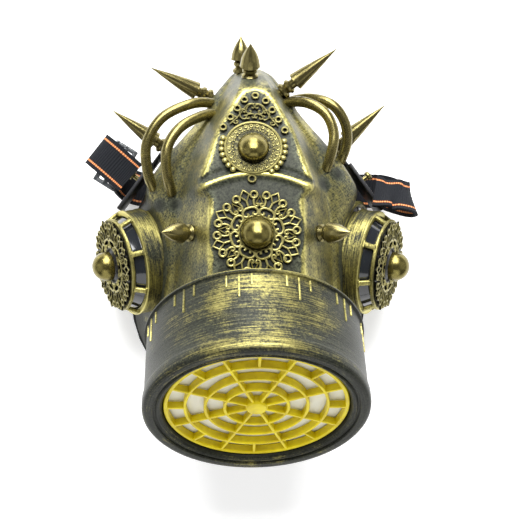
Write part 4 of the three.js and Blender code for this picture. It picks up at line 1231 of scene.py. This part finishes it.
middle_line = smooth_line(route_points, places)
route_rows = np.arange(len(route_points))
turns, leans = (np.radians(np.interp(places, route_rows, STRAP_ROUTE[:, n])) for n in (3, 4))
along = np.gradient(middle_line, axis=0)
along /= np.linalg.norm(along, axis=1)[:, None]
across = np.column_stack([-np.sin(turns) * np.cos(leans), np.cos(turns) * np.cos(leans), np.sin(leans)])
across -= along * (across * along).sum(1)[:, None]
across /= np.linalg.norm(across, axis=1)[:, None]
strap_length = float(np.linalg.norm(np.diff(middle_line, axis=0), axis=1).sum())
print("strap length", round(strap_length), "mm")
deselect()
bpy.ops.mesh.primitive_grid_add(x_subdivisions=STRAP_COLUMNS, y_subdivisions=STRAP_STEPS, size=1)
strap = bpy.context.object
reach = np.linspace(-0.5, 0.5, STRAP_COLUMNS + 1) * STRAP_WIDTH
laid = middle_line[:, None, :] + across[:, None, :] * reach[None, :, None]
strap_points = (laid.reshape(-1, 3) * MM + np.array(ORIGIN)).astype(np.float32)
strap.data.vertices.foreach_set("co", strap_points.ravel())
strap.data.update()
apply_modifier(strap, "SOLIDIFY", thickness=STRAP_THICKNESS * MM, offset=0)


def elastic_web():
    paint = Paint("elastic_web")
    uv = paint.node("ShaderNodeUVMap", {"uv_map": "UVMap"})
    over, run, _ = paint.parts(uv)
    centred = (over - 0.5).absolute()
    stripe = paint.step(centred, 0.335, 0.35) * (1.0 - paint.step(centred, 0.385, 0.4))
    rib = (run * (strap_length * 2 * math.pi / RIB_SPACING)).sine()
    fuzz = paint.noise(paint.place(), 2.5, 4)
    dark = paint.mix(fuzz, (0.003, 0.004, 0.005), (0.016, 0.017, 0.022))
    thread = paint.mix(paint.step(rib, -0.9, 0.2), (0.35, 0.1, 0.03), (0.75, 0.3, 0.12))
    return paint.finish(
        base_color=paint.mix(stripe, dark, thread),
        roughness=0.85,
        specular_ior_level=0.2,
        normal=paint.bump(rib * 0.6 + fuzz * 0.4, 0.5, 0.0004),
    )


hand_over(strap, "strap", elastic_web(), "elastic_web", "head_strap", angle=50)

# %% [markdown]
# The strap's slide is a clear smoked plastic frame with a middle bar. The webbing goes over the middle
# bar, so the two end bars show beside it.

# %% Strap slide
slide = joined(
    [block((2, 21, 2.4), (place * 4.5, 0, 0), 0.5, 3) for place in (-1, 0, 1)]
    + [block((11, 2, 2.4), (0, place * 9.5, 0), 0.8, 3) for place in (-1, 1)]
)
move(slide, Matrix.Translation(shares(-1.096, 0.49, 0.313)) @ turn_z(math.radians(-32)))
smoke_plastic = Paint("smoke_plastic").finish(
    base_color=(0.12, 0.13, 0.14), roughness=0.15, transmission_weight=0.35, ior=1.49
)
hand_over(slide, "slide", smoke_plastic, "smoke_plastic", "strap_slide")

# %% [markdown]
# The side plates are stiff black flaps that the strap hooks on. Their tops have a low tongue at the
# front end, and each carries a small brass stud.

# %% Side plates and studs
PLATE_START = Vector((0.714 * HALF_WIDTH, 0.578 * NOSE_REACH))
PLATE_END = Vector((DRUM_SEAT[0] + 0.52 * DRUM_RADIUS, 0.97 * DRUM_RADIUS))
PLATE_HEIGHT = 20
PLATE_TOP = 0.352 * CROWN_HEIGHT
plate_run = PLATE_END - PLATE_START
plate_heading = math.atan2(plate_run.y, plate_run.x)
plate_length = plate_run.length


def plate_plastic():
    paint = Paint("black_plate")
    grain = paint.noise(paint.place(), 1.8, 4)
    return paint.finish(
        base_color=(0.012, 0.012, 0.014), roughness=0.35 + grain * 0.15, normal=paint.bump(grain, 0.1, 0.0002)
    )


black_plate = plate_plastic()
stud_profile = [
    (0, 1.1), (1.1, 1.1), (1.1, 3.3), (2.1, 3.6), (2.2, 4), (2.15, 4.7), (1.7, 5.3), (1, 5.5), (0, 5.5),
]
for side, word in ((-1, "left"), (1, "right")):
    heading = plate_heading if side > 0 else math.pi - plate_heading
    place = spot(side * PLATE_START.x, PLATE_START.y, PLATE_TOP - PLATE_HEIGHT / 2)
    matrix = Matrix.Translation(place) @ turn_z(heading)
    tall = block((plate_length - 8, 1.6, PLATE_HEIGHT), (8 + (plate_length - 8) / 2, 0, 0), 0.4)
    tongue = block((9, 1.6, 0.6 * PLATE_HEIGHT), (4.5, 0, -0.2 * PLATE_HEIGHT), 0.4)
    plate = move(joined([tall, tongue]), matrix)
    hand_over(plate, f"plate_{word}", black_plate, "black_plate", f"side_plate_{word}")
    stud = turned(stud_profile, 24)
    quarter = Matrix.Rotation(math.radians(-90 if side > 0 else 90), 4, "X")
    stud_place = Matrix.Translation(Vector((0.46 * plate_length + 2, 0, PLATE_HEIGHT / 2 - 4.7)) * MM)
    hand_over(move(stud, matrix @ stud_place @ quarter), f"plate_stud_{word}", brass, "brass", f"stud_{word}")

# %% [markdown]
# A soft black strip under the rim seals the mask on the face. It is simple and barely shows, so the
# CAD node's shape is copied, merged and given rounded edges.

# %% Face seals
rubber = Paint("black_rubber").finish(base_color=(0.01, 0.01, 0.011), roughness=0.7)
for word in ("left", "right"):
    strip = copied_node(f"face_seal_{word}")
    edges = {"limit_method": "ANGLE", "angle_limit": math.radians(50)}
    apply_modifier(strip, "BEVEL", width=0.7 * MM, segments=3, **edges)
    hand_over(strip, f"seal_{word}", rubber, "black_rubber", f"face_seal_{word}")
